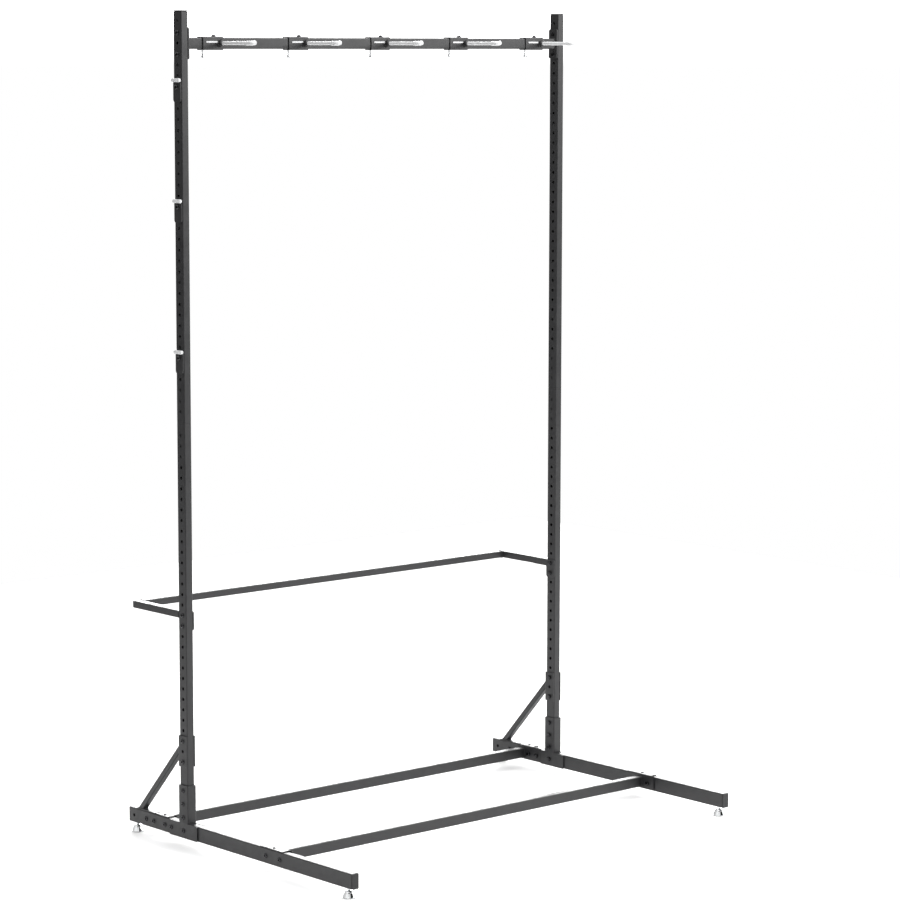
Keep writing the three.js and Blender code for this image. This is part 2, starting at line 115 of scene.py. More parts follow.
class FootSizes(bpy.types.PropertyGroup):
    """Levelling feet"""
    neck: length("Neck", "Radius of the bell's flat top", 0.0060)
    shoulder: length("Shoulder", "Height of the bell's round shoulder", 0.0055)
    cone_inset: length("Cone inset", "From the bell's radius in to the top of its cone", 0.0051)
    rim: length("Rim", "Height of the bell's rim", 0.0022)
    # The sole's dark plastic band also paints the contact shadow line under each bell's rim
    sole: length("Sole", "Height of the plastic sole under the bell", 0.0009)
    jam_nut: length("Jam nut", "Across the corners of the nut under the leg", 0.0112)
    jam_height: length("Jam nut height", "Height of the nut under the leg", 0.0034)
    thread: length("Thread", "Pitch of the stem's thread", 0.00125)
    thread_depth: length("Thread depth", "Depth of the stem's thread", 0.0006)


class HookSizes(bpy.types.PropertyGroup):
    """Bike hooks and helmet hooks"""
    sleeve_wall: length("Sleeve wall", "Wall of the sliding sleeve", 0.0022)
    rod_offset: length("Rod offset", "From the sleeve's middle to the rod", 0.022)
    rod_rise: length("Rod rise", "From the beam's middle up to the rod", 0.0005)
    rod: length("Rod", "Radius of the coated rod", 0.0043)
    grip: length("Grip", "Radius of the grip at the rod's end", 0.0055)
    bend: length("Bend", "Radius of the rod's turn", 0.0075)
    turn: length("Turn", "Straight length behind the turn", 0.003)
    tip: length("Tip", "Length of the raised tip", 0.005)
    tip_rise: length("Tip rise", "Rise of the tip", 0.0015)
    boss: length("Boss", "Radius of the boss behind the rod", 0.008)
    boss_length: length("Boss length", "Length of the boss", 0.008)
    bolt_offset: length("Bolt offset", "From the sleeve's middle to the bolt on its top", 0.01)
    bolt: length("Bolt", "Radius of the bolt on the sleeve's top", 0.006)
    strip_height: length("Strip height", "Height of the light strip on the sleeve", 0.0038)
    strip_rise: length("Strip rise", "From the beam's middle up to the strip", 0.0032)
    strip_start: length("Strip start", "From the sleeve's left end to the strip", 0.0085)
    strip_end: length("Strip end", "From the sleeve's right end to the strip", 0.016)
    lock_offset: length("Lock offset", "From the sleeve's middle to the lock screw", -0.022)
    strap_bolt: length("Strap bolt", "From the helmet hook's lip down to its bolt", 0.0148)


class FinishColours(bpy.types.PropertyGroup):
    """Colours of the finishes"""
    powder: colour("Powder coat", "Black powder coat", 0.012, 0.012, 0.013)
    # This black also colours the feet's soles, where it paints the contact shadow under the bells
    plastic: colour("Plastic", "Black plastic of the caps", 0.010, 0.010, 0.011)
    chrome: colour("Chrome", "Chromed feet", 0.86, 0.87, 0.88)
    zinc: colour("Zinc", "Lock screws", 0.84, 0.85, 0.86)
    coating: colour("Coating", "Grey coating of the hooks", 0.60, 0.605, 0.61)
    rubber: colour("Rubber", "Grey pads of the helmet hooks", 0.62, 0.625, 0.63)
    screw: colour("Screw", "Blackened screws and nuts", 0.045, 0.045, 0.047)
    floor: colour("Floor", "Studio floor", 0.93, 0.93, 0.93)


def tubes():
    return bpy.context.scene.stand_tubes


def plates():
    return bpy.context.scene.stand_plates


def fasteners():
    return bpy.context.scene.stand_fasteners


def feet():
    return bpy.context.scene.stand_feet


def hooks():
    return bpy.context.scene.stand_hooks


# Places read from the frame

def box(node):
    """A node's box, with its middle and its size"""
    low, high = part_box(node)
    return SimpleNamespace(low=low, high=high, middle=(low + high) / 2, size=high - low)


def side_of(name, outward):
    """Middle of one upright and the direction away from the stand"""
    upright = box(f"{name}_upright_lower")
    return SimpleNamespace(name=name, outward=outward, x=upright.middle.x, y=upright.middle.y,
                           half_width=upright.size.x / 2, half_depth=upright.size.y / 2,
                           leg=box(f"{name}_leg"))


SIDES = (side_of("left", -1), side_of("right", 1))
BEAM = box("top_beam")
HOOK_NAMES = [f"hook_{number}" for number in range(1, 6)]
HELMET_NAMES = [f"helmet_hook_{number}" for number in range(1, 4)]
FOOT_NAMES = [f"{side.name}_{end}" for side in SIDES for end in ("front", "rear")]


def inner_face(side, plate=0.0):
    """X of an upright's inner face, past the gap and a plate"""
    return side.x - side.outward * (side.half_width + plates().gap + plate)


def outer_face(side):
    return side.x + side.outward * side.half_width


def leg_top(side, plate=0.0):
    """Height over a leg, past the gap and a plate"""
    return side.leg.high.z + plates().gap + plate


def end_at(side, bar):
    """X of a bar's end at one side of the stand"""
    return bar.low.x if side.outward < 0 else bar.high.x


# Outlines and skins

ARC_STEPS = 5
ROWS_PER_TURN = 4


def quarter(steps):
    """Angles of a quarter turn, both ends included"""
    return [step / steps * math.pi / 2 for step in range(steps + 1)]


def full_turn(sides):
    """Angles of a full turn, without its end"""
    return [index / sides * math.tau for index in range(sides)]


def arc(u, v, radius, angles):
    return [(u + radius * math.cos(angle), v + radius * math.sin(angle)) for angle in angles]


def rounded_rectangle(u, v, width, height, radius):
    """Outline about (u, v) with its corners as arcs"""
    outline = []
    for turn, (right, up) in enumerate(((1, 1), (-1, 1), (-1, -1), (1, -1))):
        angles = [angle + turn * math.pi / 2 for angle in quarter(ARC_STEPS)]
        outline += arc(u + right * (width / 2 - radius), v + up * (height / 2 - radius), radius, angles)
    return outline


def filleted(corners, steps=ARC_STEPS):
    """Outline through corners (u, v, radius), each one turned into an arc"""
    outline = []
    for index, (u, v, radius) in enumerate(corners):
        if radius == 0:
            outline.append((u, v))
            continue
        here = Vector((u, v))
        before = (Vector(corners[index - 1][:2]) - here).normalized()
        after = (Vector(corners[(index + 1) % len(corners)][:2]) - here).normalized()
        half = before.angle(after) / 2
        centre = here + (before + after).normalized() * (radius / math.sin(half))
        start = here + before * (radius / math.tan(half)) - centre
        end = here + after * (radius / math.tan(half)) - centre
        first = math.atan2(start.y, start.x)
        turn = (math.atan2(end.y, end.x) - first + math.pi) % math.tau - math.pi
        angles = [first + turn * step / steps for step in range(steps + 1)]
        outline += arc(centre.x, centre.y, radius, angles)
    return outline


def at(axis, u, v, along):
    """Point whose section lies across the axis: Y and Z, X and Z, or X and Y"""
    if axis == "X":
        return Vector((along, u, v))
    if axis == "Y":
        return Vector((u, along, v))
    return Vector((u, v, along))


def placed(axis, outline, along):
    return [at(axis, u, v, along) for u, v in outline]


def skin(rings, bm=None, looped=False):
    """Closed skin through rings of equal count, added to bm; looped joins the last ring to the first"""
    if bm is None:
        bm = bmesh.new()
    rows = [[bm.verts.new(point) for point in ring] for ring in rings]
    pairs = list(zip(rows, rows[1:]))
    faces = []
    if looped:
        pairs.append((rows[-1], rows[0]))
    for low, high in pairs:
        for index in range(len(low)):
            after = (index + 1) % len(low)
            faces.append(bm.faces.new((low[index], low[after], high[after], high[index])))
    if not looped:
        faces.append(bm.faces.new(rows[0]))
        faces.append(bm.faces.new(rows[-1]))
    bmesh.ops.recalc_face_normals(bm, faces=faces)
    return bm


def prism(axis, outline, low, high, bm=None):
    return skin([placed(axis, outline, along) for along in (low, high)], bm)


def block(low, high):
    outline = [(low[0], low[1]), (high[0], low[1]), (high[0], high[1]), (low[0], high[1])]
    return prism("Z", outline, low[2], high[2])


def tube(axis, u, v, width, height, wall, corner, low, high):
    """Hollow tube along an axis, its two mouths slightly rounded"""
    mouth = tubes().mouth
    outer = (width, height, corner)
    outer_mouth = (width - 2 * mouth, height - 2 * mouth, corner - mouth)
    inner = (width - 2 * wall, height - 2 * wall, max(corner - wall, mouth))
    stations = ((outer_mouth, low), (outer, low + mouth), (outer, high - mouth), (outer_mouth, high),
                (inner, high), (inner, low))
    rings = [placed(axis, rounded_rectangle(u, v, *section), along) for section, along in stations]
    return skin(rings, looped=True)


def turned(axis, u, v, profile, sides=32, bm=None):
    """Turned piece from (radius, along) pairs"""
    angles = full_turn(sides)
    return skin([placed(axis, arc(u, v, radius, angles), along) for radius, along in profile], bm)


def swept(path, radii, sides=20):
    """Round piece along a path of points"""
    rings = []
    side = None
    for index, (point, radius) in enumerate(zip(path, radii)):
        before = path[max(index - 1, 0)]
        after = path[min(index + 1, len(path) - 1)]
        along = (after - before).normalized()
        side = Vector((0, 0, 1)).cross(along) if side is None else side - along * side.dot(along)
        side = side.normalized()
        up = along.cross(side)
        rings.append([point + (side * u + up * v) * radius for u, v in arc(0, 0, 1, full_turn(sides))])
    return skin(rings)


def threaded(place, depth, pitch, sides=16):
    """Upright screw thread in a box, as one skin whose radius follows the helix"""
    rows = max(int(place.size.z / pitch * ROWS_PER_TURN), ROWS_PER_TURN)
    rings = []
    for row in range(rows + 1):
        z = place.low.z + place.size.z * row / rows
        ring = []
        for index in range(sides):
            share = index / sides
            phase = (z / pitch - share) % 1
            radius = place.size.x / 2 - depth * abs(2 * phase - 1)
            ring += placed("Z", arc(place.middle.x, place.middle.y, radius, [share * math.tau]), z)
        rings.append(ring)
    return skin(rings)


# Materials

CELLS = None
PATTERN_START = 0.3
PATTERN_END = 0.7
MATERIALS = {}


def look(title, slot, shades, roughness, *reliefs, metallic=0.0, specular=0.5):
    """A finish and its slot in the CAD model

    Each pattern is a grain in metres, a detail or CELLS, and two values: the darkest and the lightest
    shade, the least and the most roughness, or the depth in metres and the strength of a relief.
    """
    return SimpleNamespace(title=title, slot=slot, shades=shades, roughness=roughness, reliefs=reliefs,
                           metallic=metallic, specular=specular)


FINISHES = {
    "powder": look("Black powder coat", "black_steel", (0.045, 4, 0.88, 1.14), (0.02, 3, 0.40, 0.50),
                   (0.0016, 1, 0.00005, 0.35), (0.00035, 1, 0.00002, 0.30)),
    "plastic": look("Black moulded plastic", "black_plastic", (0.01, 3, 0.9, 1.2), (0.004, 2, 0.46, 0.60),
                    (0.0006, CELLS, 0.00004, 0.4), specular=0.4),
    "chrome": look("Chrome plate", "chrome", (0.006, 2, 0.96, 1.03), (0.003, 4, 0.04, 0.12),
                   (0.004, 2, 0.00003, 0.15), metallic=1.0),
    "zinc": look("Zinc plate", "zinc_steel", (0.0025, CELLS, 0.85, 1.1), (0.002, 3, 0.22, 0.38),
                 (0.0005, 2, 0.00002, 0.3), metallic=1.0),
    "coating": look("Grey dipped coating", "grey_coating", (0.012, 4, 0.94, 1.05), (0.006, 3, 0.36, 0.50),
                    (0.005, 1, 0.00015, 0.35), (0.0005, 2, 0.00002, 0.35)),
    "rubber": look("Grey soft rubber", "grey_rubber", (0.008, 4, 0.92, 1.05), (0.003, 2, 0.50, 0.66),
                   (0.0008, CELLS, 0.00005, 0.35), specular=0.35),
    "screw": look("Blackened steel", "black_steel", (0.002, 3, 0.8, 1.25), (0.001, 2, 0.16, 0.26),
                  (0.0003, 1, 0.00001, 0.3), metallic=1.0),
    "floor": look("Studio floor", None, (0.8, 3, 0.985, 1.01), (0.3, 2, 0.75, 0.85),
                  (0.004, 2, 0.0001, 0.1), specular=0.2),
}


def add_node(tree, kind, **inputs):
    """A node with values on its inputs; an underscore in a name stands for a space"""
    made = tree.nodes.new(kind)
    for name, value in inputs.items():
        made.inputs[name.replace("_", " ")].default_value = value
    return made


class Finish:
    """Material whose patterns lie in the piece's own coordinates"""

    def __init__(self, kind, base):
        self.material = bpy.data.materials.new(kind.title)
        self.material.use_nodes = True
        self.tree = self.material.node_tree
        self.shader = self.tree.nodes["Principled BSDF"]
        self.shader.inputs["Metallic"].default_value = kind.metallic
        self.shader.inputs["Specular IOR Level"].default_value = kind.specular
        self.place = add_node(self.tree, "ShaderNodeTexCoord").outputs["Object"]
        self.colour(base, *kind.shades)
        self.roughness(*kind.roughness)
        self.relief(kind.reliefs)

    def link(self, source, target):
        self.tree.links.new(source, target)

    def pattern(self, grain, detail):
        """Noise or cells at a grain in metres"""
        if detail is CELLS:
            made = add_node(self.tree, "ShaderNodeTexVoronoi", Scale=1 / grain)
            value = made.outputs["Distance"]
        else:
            made = add_node(self.tree, "ShaderNodeTexNoise", Scale=1 / grain, Detail=detail)
            value = made.outputs["Fac"]
        self.link(self.place, made.inputs["Vector"])
        return value

    def colour(self, base, grain, detail, dark, light):
        """Base colour between a darker and a lighter shade"""
        ramp = add_node(self.tree, "ShaderNodeValToRGB")
        shades = ((PATTERN_START, dark), (PATTERN_END, light))
        for stop, (position, shade) in zip(ramp.color_ramp.elements, shades):
            stop.position = position
            stop.color = (*[min(channel * shade, 1) for channel in base], 1)
        self.link(self.pattern(grain, detail), ramp.inputs["Fac"])
        self.link(ramp.outputs["Color"], self.shader.inputs["Base Color"])

    def roughness(self, grain, detail, low, high):
        made = add_node(self.tree, "ShaderNodeMapRange", From_Min=PATTERN_START, From_Max=PATTERN_END,
                        To_Min=low, To_Max=high)
        self.link(self.pattern(grain, detail), made.inputs["Value"])
        self.link(made.outputs["Result"], self.shader.inputs["Roughness"])

    def relief(self, reliefs):
        """Bumps one on another, each with its depth in metres"""
        normal = None
        for grain, detail, depth, strength in reliefs:
            made = add_node(self.tree, "ShaderNodeBump", Strength=strength, Distance=depth)
            self.link(self.pattern(grain, detail), made.inputs["Height"])
            if normal:
                self.link(normal, made.inputs["Normal"])
            normal = made.outputs["Normal"]
        self.link(normal, self.shader.inputs["Normal"])


def finish_of(name):
    """The material of a finish, made when it is first asked for"""
    if name not in MATERIALS:
        base = getattr(bpy.context.scene.stand_colours, name)
        MATERIALS[name] = Finish(FINISHES[name], base).material
    return MATERIALS[name]


# Objects

BEVEL_SEGMENTS = 2
BEVEL_ANGLE = math.radians(35)
SHARP_ANGLE = math.radians(50)


def linked(name, data):
    piece = bpy.data.objects.new(name, data)
    bpy.context.scene.collection.objects.link(piece)
    return piece


def new_object(name, bm, finish=None):
    """The solid in bm as an object at the origin"""
    mesh = bpy.data.meshes.new(name)
    bm.to_mesh(mesh)
    bm.free()
    if finish:
        mesh.materials.append(finish_of(finish))
    return linked(name, mesh)


def remove(piece):
    mesh = piece.data
    bpy.data.objects.remove(piece)
    bpy.data.meshes.remove(mesh)


def bake(piece):
    """Turns the piece's modifiers into plain mesh"""
    bpy.context.view_layer.update()
    graph = bpy.context.evaluated_depsgraph_get()
    mesh = bpy.data.meshes.new_from_object(
        piece.evaluated_get(graph), preserve_all_data_layers=True, depsgraph=graph)
    old = piece.data
    piece.modifiers.clear()
    piece.data = mesh
    bpy.data.meshes.remove(old)


def boolean(piece, operation, bm):
    """Cuts the piece with, or joins it to, the solid in bm"""
    tool = new_object("tool", bm)
    modifier = piece.modifiers.new("Boolean", "BOOLEAN")
    modifier.operation = operation
    modifier.solver = "EXACT"
    modifier.object = tool
    bake(piece)
    remove(tool)
    return piece


def round_edges(piece, width):
    modifier = piece.modifiers.new("Bevel", "BEVEL")
    modifier.width = width
    modifier.segments = BEVEL_SEGMENTS
    modifier.limit_method = "ANGLE"
    modifier.angle_limit = BEVEL_ANGLE
    bake(piece)


def shade(piece):
    """Smooth shading with the sharp edges and the flat faces kept"""
    piece.data.shade_smooth()
    piece.data.set_sharp_from_angle(angle=SHARP_ANGLE)
    modifier = piece.modifiers.new("Weighted normal", "WEIGHTED_NORMAL")
    modifier.keep_sharp = True
    bake(piece)


def fit(piece, finish, body, *nodes):
    """The finished piece rides on its body and stands for its CAD nodes"""
    shade(piece)
    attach(piece, body)
    if nodes:
        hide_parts(*nodes)


def add(name, bm, finish, body, *nodes, cut=None, edge=0.0):
    """Makes a piece of the solid in bm, cuts the solid in cut out of it, rounds its edges and fits it"""
    piece = new_object(name, bm, finish)
    if cut is not None:
        boolean(piece, "DIFFERENCE", cut)
    if edge:
        round_edges(piece, edge)
    fit(piece, finish, body, *nodes)


# Node trees

class Tree:
    """Geometry Nodes tree with named inputs, the last of them its material"""

    def __init__(self, name, **inputs):
        self.group = bpy.data.node_groups.new(name, "GeometryNodeTree")
        for label, kind in {"Geometry": "Geometry", **inputs, "Material": "Material"}.items():
            self.group.interface.new_socket(label, in_out="INPUT", socket_type=f"NodeSocket{kind}")
        self.group.interface.new_socket("Geometry", in_out="OUTPUT", socket_type="NodeSocketGeometry")
        self.start = self.group.nodes.new("NodeGroupInput")
        self.end = self.group.nodes.new("NodeGroupOutput")

    def node(self, kind, **settings):
        made = self.group.nodes.new(kind)
        for name, value in settings.items():
            setattr(made, name, value)
        return made

    def wire(self, *links):
        """Links, each given as a node, its output, a node and its input"""
        for source, output, target, entry in links:
            self.group.links.new(source.outputs[output], target.inputs[entry])

    def close(self, last, output):
        """Ends the tree in Realize Instances and Set Material"""
        realize = self.node("GeometryNodeRealizeInstances")
        paint = self.node("GeometryNodeSetMaterial")
        self.wire(
            (last, output, realize, "Geometry"),
            (realize, "Geometry", paint, "Geometry"),
            (self.start, "Material", paint, "Material"),
            (paint, "Geometry", self.end, "Geometry"),
        )
        return self.group


def apply_tree(piece, group, **values):
    """Runs a tree on the piece with its named inputs, then bakes it"""
    modifier = piece.modifiers.new(group.name, "NODES")
    modifier.node_group = group
    sockets = {item.name: item.identifier for item in group.interface.items_tree
               if item.item_type == "SOCKET" and item.in_out == "INPUT"}
    for name, value in values.items():
        modifier[sockets[name]] = value
    piece.update_tag()
    bake(piece)


def hole_row_tree():
    """A row of holes up a tube: a line of cutters, taken out of the tube"""
    tree = Tree("Row of holes", Cutter="Object", Count="Int", First="Vector", Step="Vector")
    line = tree.node("GeometryNodeMeshLine", mode="OFFSET")
    cutter = tree.node("GeometryNodeObjectInfo")
    place = tree.node("GeometryNodeInstanceOnPoints")
    realize = tree.node("GeometryNodeRealizeInstances")
    cut = tree.node("GeometryNodeMeshBoolean", operation="DIFFERENCE", solver="EXACT")
    tree.wire(
        (tree.start, "Count", line, "Count"),
        (tree.start, "First", line, "Start Location"),
        (tree.start, "Step", line, "Offset"),
        (tree.start, "Cutter", cutter, "Object"),
        (line, "Mesh", place, "Points"),
        (cutter, "Geometry", place, "Instance"),
        (place, "Instances", realize, "Geometry"),
        (tree.start, "Geometry", cut, "Mesh 1"),
        (realize, "Geometry", cut, "Mesh 2"),
    )
    return tree.close(cut, "Mesh")


def fastener_tree():
    """A fastener on every point, its axis along the point's facing attribute"""
    tree = Tree("Fasteners", Fastener="Object")
    model = tree.node("GeometryNodeObjectInfo")
    facing = tree.node("GeometryNodeInputNamedAttribute", data_type="FLOAT_VECTOR")
    facing.inputs["Name"].default_value = "facing"
    turn = tree.node("FunctionNodeAlignRotationToVector", axis="Z")
    place = tree.node("GeometryNodeInstanceOnPoints")
    tree.wire(
        (tree.start, "Fastener", model, "Object"),
        (facing, "Attribute", turn, "Vector"),
        (tree.start, "Geometry", place, "Points"),
        (model, "Geometry", place, "Instance"),
        (turn, "Rotation", place, "Rotation"),
    )
    return tree.close(place, "Instances")


def weld_tree():
    """A weld along every edge line: overlapping ripples at a fixed step"""
    tree = Tree("Weld", Step="Float", Radius="Float")
    curve = tree.node("GeometryNodeMeshToCurve")
    spread = tree.node("GeometryNodeResampleCurve")
    if hasattr(spread, "mode"):
        spread.mode = "LENGTH"
    ripple = add_node(tree.group, "GeometryNodeMeshUVSphere", Segments=8, Rings=5)
    smooth = tree.node("GeometryNodeSetShadeSmooth")
    place = tree.node("GeometryNodeInstanceOnPoints")
    tree.wire(
        (tree.start, "Geometry", curve, "Mesh"),
        (curve, "Curve", spread, "Curve"),
        (tree.start, "Step", spread, "Length"),
        (tree.start, "Radius", ripple, "Radius"),
        (ripple, "Mesh", smooth, "Geometry"),
        (spread, "Curve", place, "Points"),
        (smooth, "Geometry", place, "Instance"),
    )
    return tree.close(place, "Instances")


# Tubes and their caps

PLUG_PLAY = 0.0007
PLUG_CORNER = 0.0012
PLUG_RIBS = 3
RIB_PROFILE = ((0.0002, -0.0009), (0.0007, -0.0002), (0.0007, 0.0002), (0.0002, 0.0009))


def perforate(piece, x, y, first, count):
    """Takes a row of chamfered round holes out of both walls of a tube"""
    sizes = tubes()
    half_width = SIDES[0].half_width
    radius = sizes.hole / 2
    chamfer = sizes.hole_chamfer
    overrun = chamfer * 2
    half_profile = [(radius + chamfer + overrun, half_width + overrun), (radius, half_width - chamfer)]
    profile = half_profile + [(r, -along) for r, along in reversed(half_profile)]
    cutter = new_object("cutter", turned("X", 0, 0, profile, sides=20))
    apply_tree(piece, hole_row_tree(), Cutter=cutter, Count=count, First=(x, y, first),
               Step=(0, 0, sizes.pitch), Material=finish_of("powder"))
    remove(cutter)


def end_cap(name, node, axis, section, stations, neck, rounding):
    """Cap with a rounded edge over a narrower neck, and its plug with soft ribs that grip the tube's wall

    The section is (u, v, width, height), the stations are the plug's root, the tube's end and the cap's face.
    """
    u, v, width, height = section
    root, seat, face = stations
    facing = math.copysign(1, face - seat)
    steps = [(neck, seat)]
    for angle in quarter(ARC_STEPS):
        steps.append((rounding * (1 - math.cos(angle)), face - facing * rounding * (1 - math.sin(angle))))
    rings = []
    for inset, along in steps:
        outline = rounded_rectangle(u, v, width - 2 * inset, height - 2 * inset, tubes().corner - inset)
        rings.append(placed(axis, outline, along))
    bm = skin(rings)
    low, high = sorted((root, seat))
    shank = [across - 2 * (tubes().wall + PLUG_PLAY) for across in (width, height)]
    prism(axis, rounded_rectangle(u, v, *shank, PLUG_CORNER), low, high, bm)
    for rib in range(1, PLUG_RIBS + 1):
        middle = low + rib * (high - low) / (PLUG_RIBS + 1)
        rings = []
        for grow, along in RIB_PROFILE:
            outline = rounded_rectangle(u, v, shank[0] + grow, shank[1] + grow, PLUG_CORNER)
            rings.append(placed(axis, outline, middle + along))
        skin(rings, bm)
    add(name, bm, "plastic", "frame", node)


class STAND_OT_uprights(bpy.types.Operator):
    """Perforated upright tubes, joiners and top caps"""
    bl_idname = "stand.uprights"
    bl_label = "Uprights"

    cap_flange = 0.003
    cap_neck = 0.0006
    cap_rounding = 0.0012

    def execute(self, context):
        sizes = tubes()
        for side in SIDES:
            for part, first in (("lower", sizes.lower_hole), ("upper", sizes.upper_hole)):
                node = f"{side.name}_upright_{part}"
                place = box(node)
                bm = tube("Z", side.x, side.y, place.size.x, place.size.y, sizes.wall, sizes.corner,
                          place.low.z, place.high.z)
                piece = new_object(f"{side.name}_{part}_tube", bm, "powder")
                count = int((place.high.z - sizes.margin - first) / sizes.pitch) + 1
                perforate(piece, side.x, side.y, first, count)
                fit(piece, "powder", "frame", node)
            self.cap(side)
            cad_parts[f"{side.name}_upright_joiner"].data.materials[0] = finish_of("powder")
        return {"FINISHED"}

    def cap(self, side):
        node = f"{side.name}_top_cap"
        place = box(node)
        section = (side.x, side.y, place.size.x, place.size.y)
        stations = (place.low.z, place.high.z - self.cap_flange, place.high.z)
        end_cap(f"{side.name}_upright_cap", node, "Z", section, stations, self.cap_neck, self.cap_rounding)


class STAND_OT_legs(bpy.types.Operator):
    """Floor legs and their end caps"""
    bl_idname = "stand.legs"
    bl_label = "Legs"

    cap_neck = 0.0004
    cap_rounding = 0.001

    def execute(self, context):
        sizes = tubes()
        for side in SIDES:
            leg = side.leg
            bm = tube("Y", leg.middle.x, leg.middle.z, leg.size.x, leg.size.z, sizes.wall, sizes.corner,
                      leg.low.y, leg.high.y)
            piece = new_object(f"{side.name}_leg_tube", bm, "powder")
            perforate(piece, side.x, side.y + sizes.leg_hole, leg.middle.z, 1)
            fit(piece, "powder", "frame", f"{side.name}_leg")
            self.cap(side, "front")
            self.cap(side, "rear")
        return {"FINISHED"}

    def cap(self, side, end):
        leg = side.leg
        node = f"{side.name}_leg_cap_{end}"
        place = box(node)
        section = (side.x, leg.middle.z, leg.size.x, leg.size.z)
        if end == "rear":
            stations = (place.low.y, leg.high.y + plates().gap, place.high.y)
        else:
            stations = (place.high.y, leg.low.y - plates().gap, place.low.y)
        end_cap(f"{side.name}_{end}_leg_plug", node, "Y", section, stations, self.cap_neck, self.cap_rounding)


# Feet, sockets and braces

class STAND_OT_feet(bpy.types.Operator):
    """Chromed bell feet on threaded stems"""
    bl_idname = "stand.feet"
    bl_label = "Levelling feet"

    rounding = 0.0003
    rim_step = 0.0008
    # Inset and bevel of the dark sole, whose band also paints the contact shadow under the bell
    sole_inset = 0.0009
    sole_bevel = (0.0005, 0.0003)
    overlap = 0.0001
    bell_sides = 40

    def execute(self, context):
        for name in FOOT_NAMES:
            self.bell(name)
            self.sole(name)
            stem = f"{name}_foot_stem"
            bm = threaded(box(stem), feet().thread_depth, feet().thread)
            add(f"{name}_stem", bm, "chrome", stem, stem)
        return {"FINISHED"}

    def bell(self, name):
        """Bell: a thin rim, a cone and a round shoulder up to the stem"""
        node = f"{name}_foot_cup"
        place = box(node)
        sizes = feet()
        radius = place.size.x / 2
        height = place.size.z
        base = height - sizes.shoulder
        cone = radius - sizes.cone_inset
        profile = [(radius - 2 * self.rounding, sizes.sole), (radius, sizes.sole + self.rounding),
                   (radius, sizes.rim - self.rounding), (radius - self.rim_step / 2, sizes.rim),
                   (radius - self.rim_step, sizes.rim), (cone, base)]
        for angle in quarter(8)[1:]:
            profile.append((sizes.neck + (cone - sizes.neck) * math.cos(angle),
                            base + sizes.shoulder * math.sin(angle)))
        profile.append((sizes.neck - self.rim_step, height))
        bm = turned("Z", place.middle.x, place.middle.y, profile, self.bell_sides)
        add(f"{name}_bell", bm, "chrome", node, node)

    def sole(self, name):
        """Dark plastic sole, set slightly inside the bell's rim; its dark band also paints the contact shadow
        where the bell meets the floor
        """
        node = f"{name}_foot_cup"
        place = box(node)
        radius = place.size.x / 2 - self.sole_inset
        inset, rise = self.sole_bevel
        profile = [(radius - inset, 0), (radius, rise), (radius, feet().sole + self.overlap)]
        bm = turned("Z", place.middle.x, place.middle.y, profile, self.bell_sides)
        # Dark band under the bell: a plastic sole that also paints the contact shadow
        add(f"{name}_sole", bm, "plastic", node)


class STAND_OT_sockets(bpy.types.Operator):
    """Sheet sockets that hold the uprights on the legs"""
    bl_idname = "stand.sockets"
    bl_label = "Sockets"

    inside_corner = 0.0015

    def execute(self, context):
        sizes = plates()
        for side in SIDES:
            place = box(f"{side.name}_socket")
            piece = new_object(f"{side.name}_socket_plate", self.sleeve(side, place.high.z), "powder")
            for facing in (side.outward, -side.outward):
                rear = place.high.y if facing == side.outward else box("rear_cross_bar").low.y - sizes.gap
                boolean(piece, "UNION", self.cheek(side, place, facing, rear))
            round_edges(piece, sizes.edge)
            fit(piece, "powder", "frame", f"{side.name}_socket")
        return {"FINISHED"}

    def sleeve(self, side, top):
        """Sheet bent all round the upright"""
        sizes = plates()
        inner = [2 * (half + sizes.gap) for half in (side.half_width, side.half_depth)]
        outer = [across + 2 * sizes.socket for across in inner]
        inner_line = rounded_rectangle(side.x, side.y, *inner, max(sizes.bend - sizes.socket, sizes.edge))
        outer_line = rounded_rectangle(side.x, side.y, *outer, sizes.bend)
        low = leg_top(side)
        stations = ((outer_line, low), (outer_line, top), (inner_line, top), (inner_line, low))
        return skin([placed("Z", outline, along) for outline, along in stations], looped=True)

    def cheek(self, side, place, facing, rear):
        """Flat plate on one side of the leg, with a tongue up the upright"""
        sizes = plates()
        rounded = sizes.corner / 2
        inner = side.half_width + sizes.gap
        flat = side.half_depth + sizes.gap + sizes.socket - sizes.bend
        shelf = side.leg.high.z
        corners = [(place.low.y, place.low.z, rounded), (rear, place.low.z, rounded),
                   (rear, shelf, rounded), (side.y + flat, shelf, self.inside_corner),
                   (side.y + flat, place.high.z, 0), (side.y - flat, place.high.z, 0),
                   (side.y - flat, shelf, self.inside_corner), (place.low.y, shelf, rounded)]
        ends = sorted((side.x + facing * inner, side.x + facing * (inner + sizes.socket)))
        return prism("X", filleted(corners), *ends)


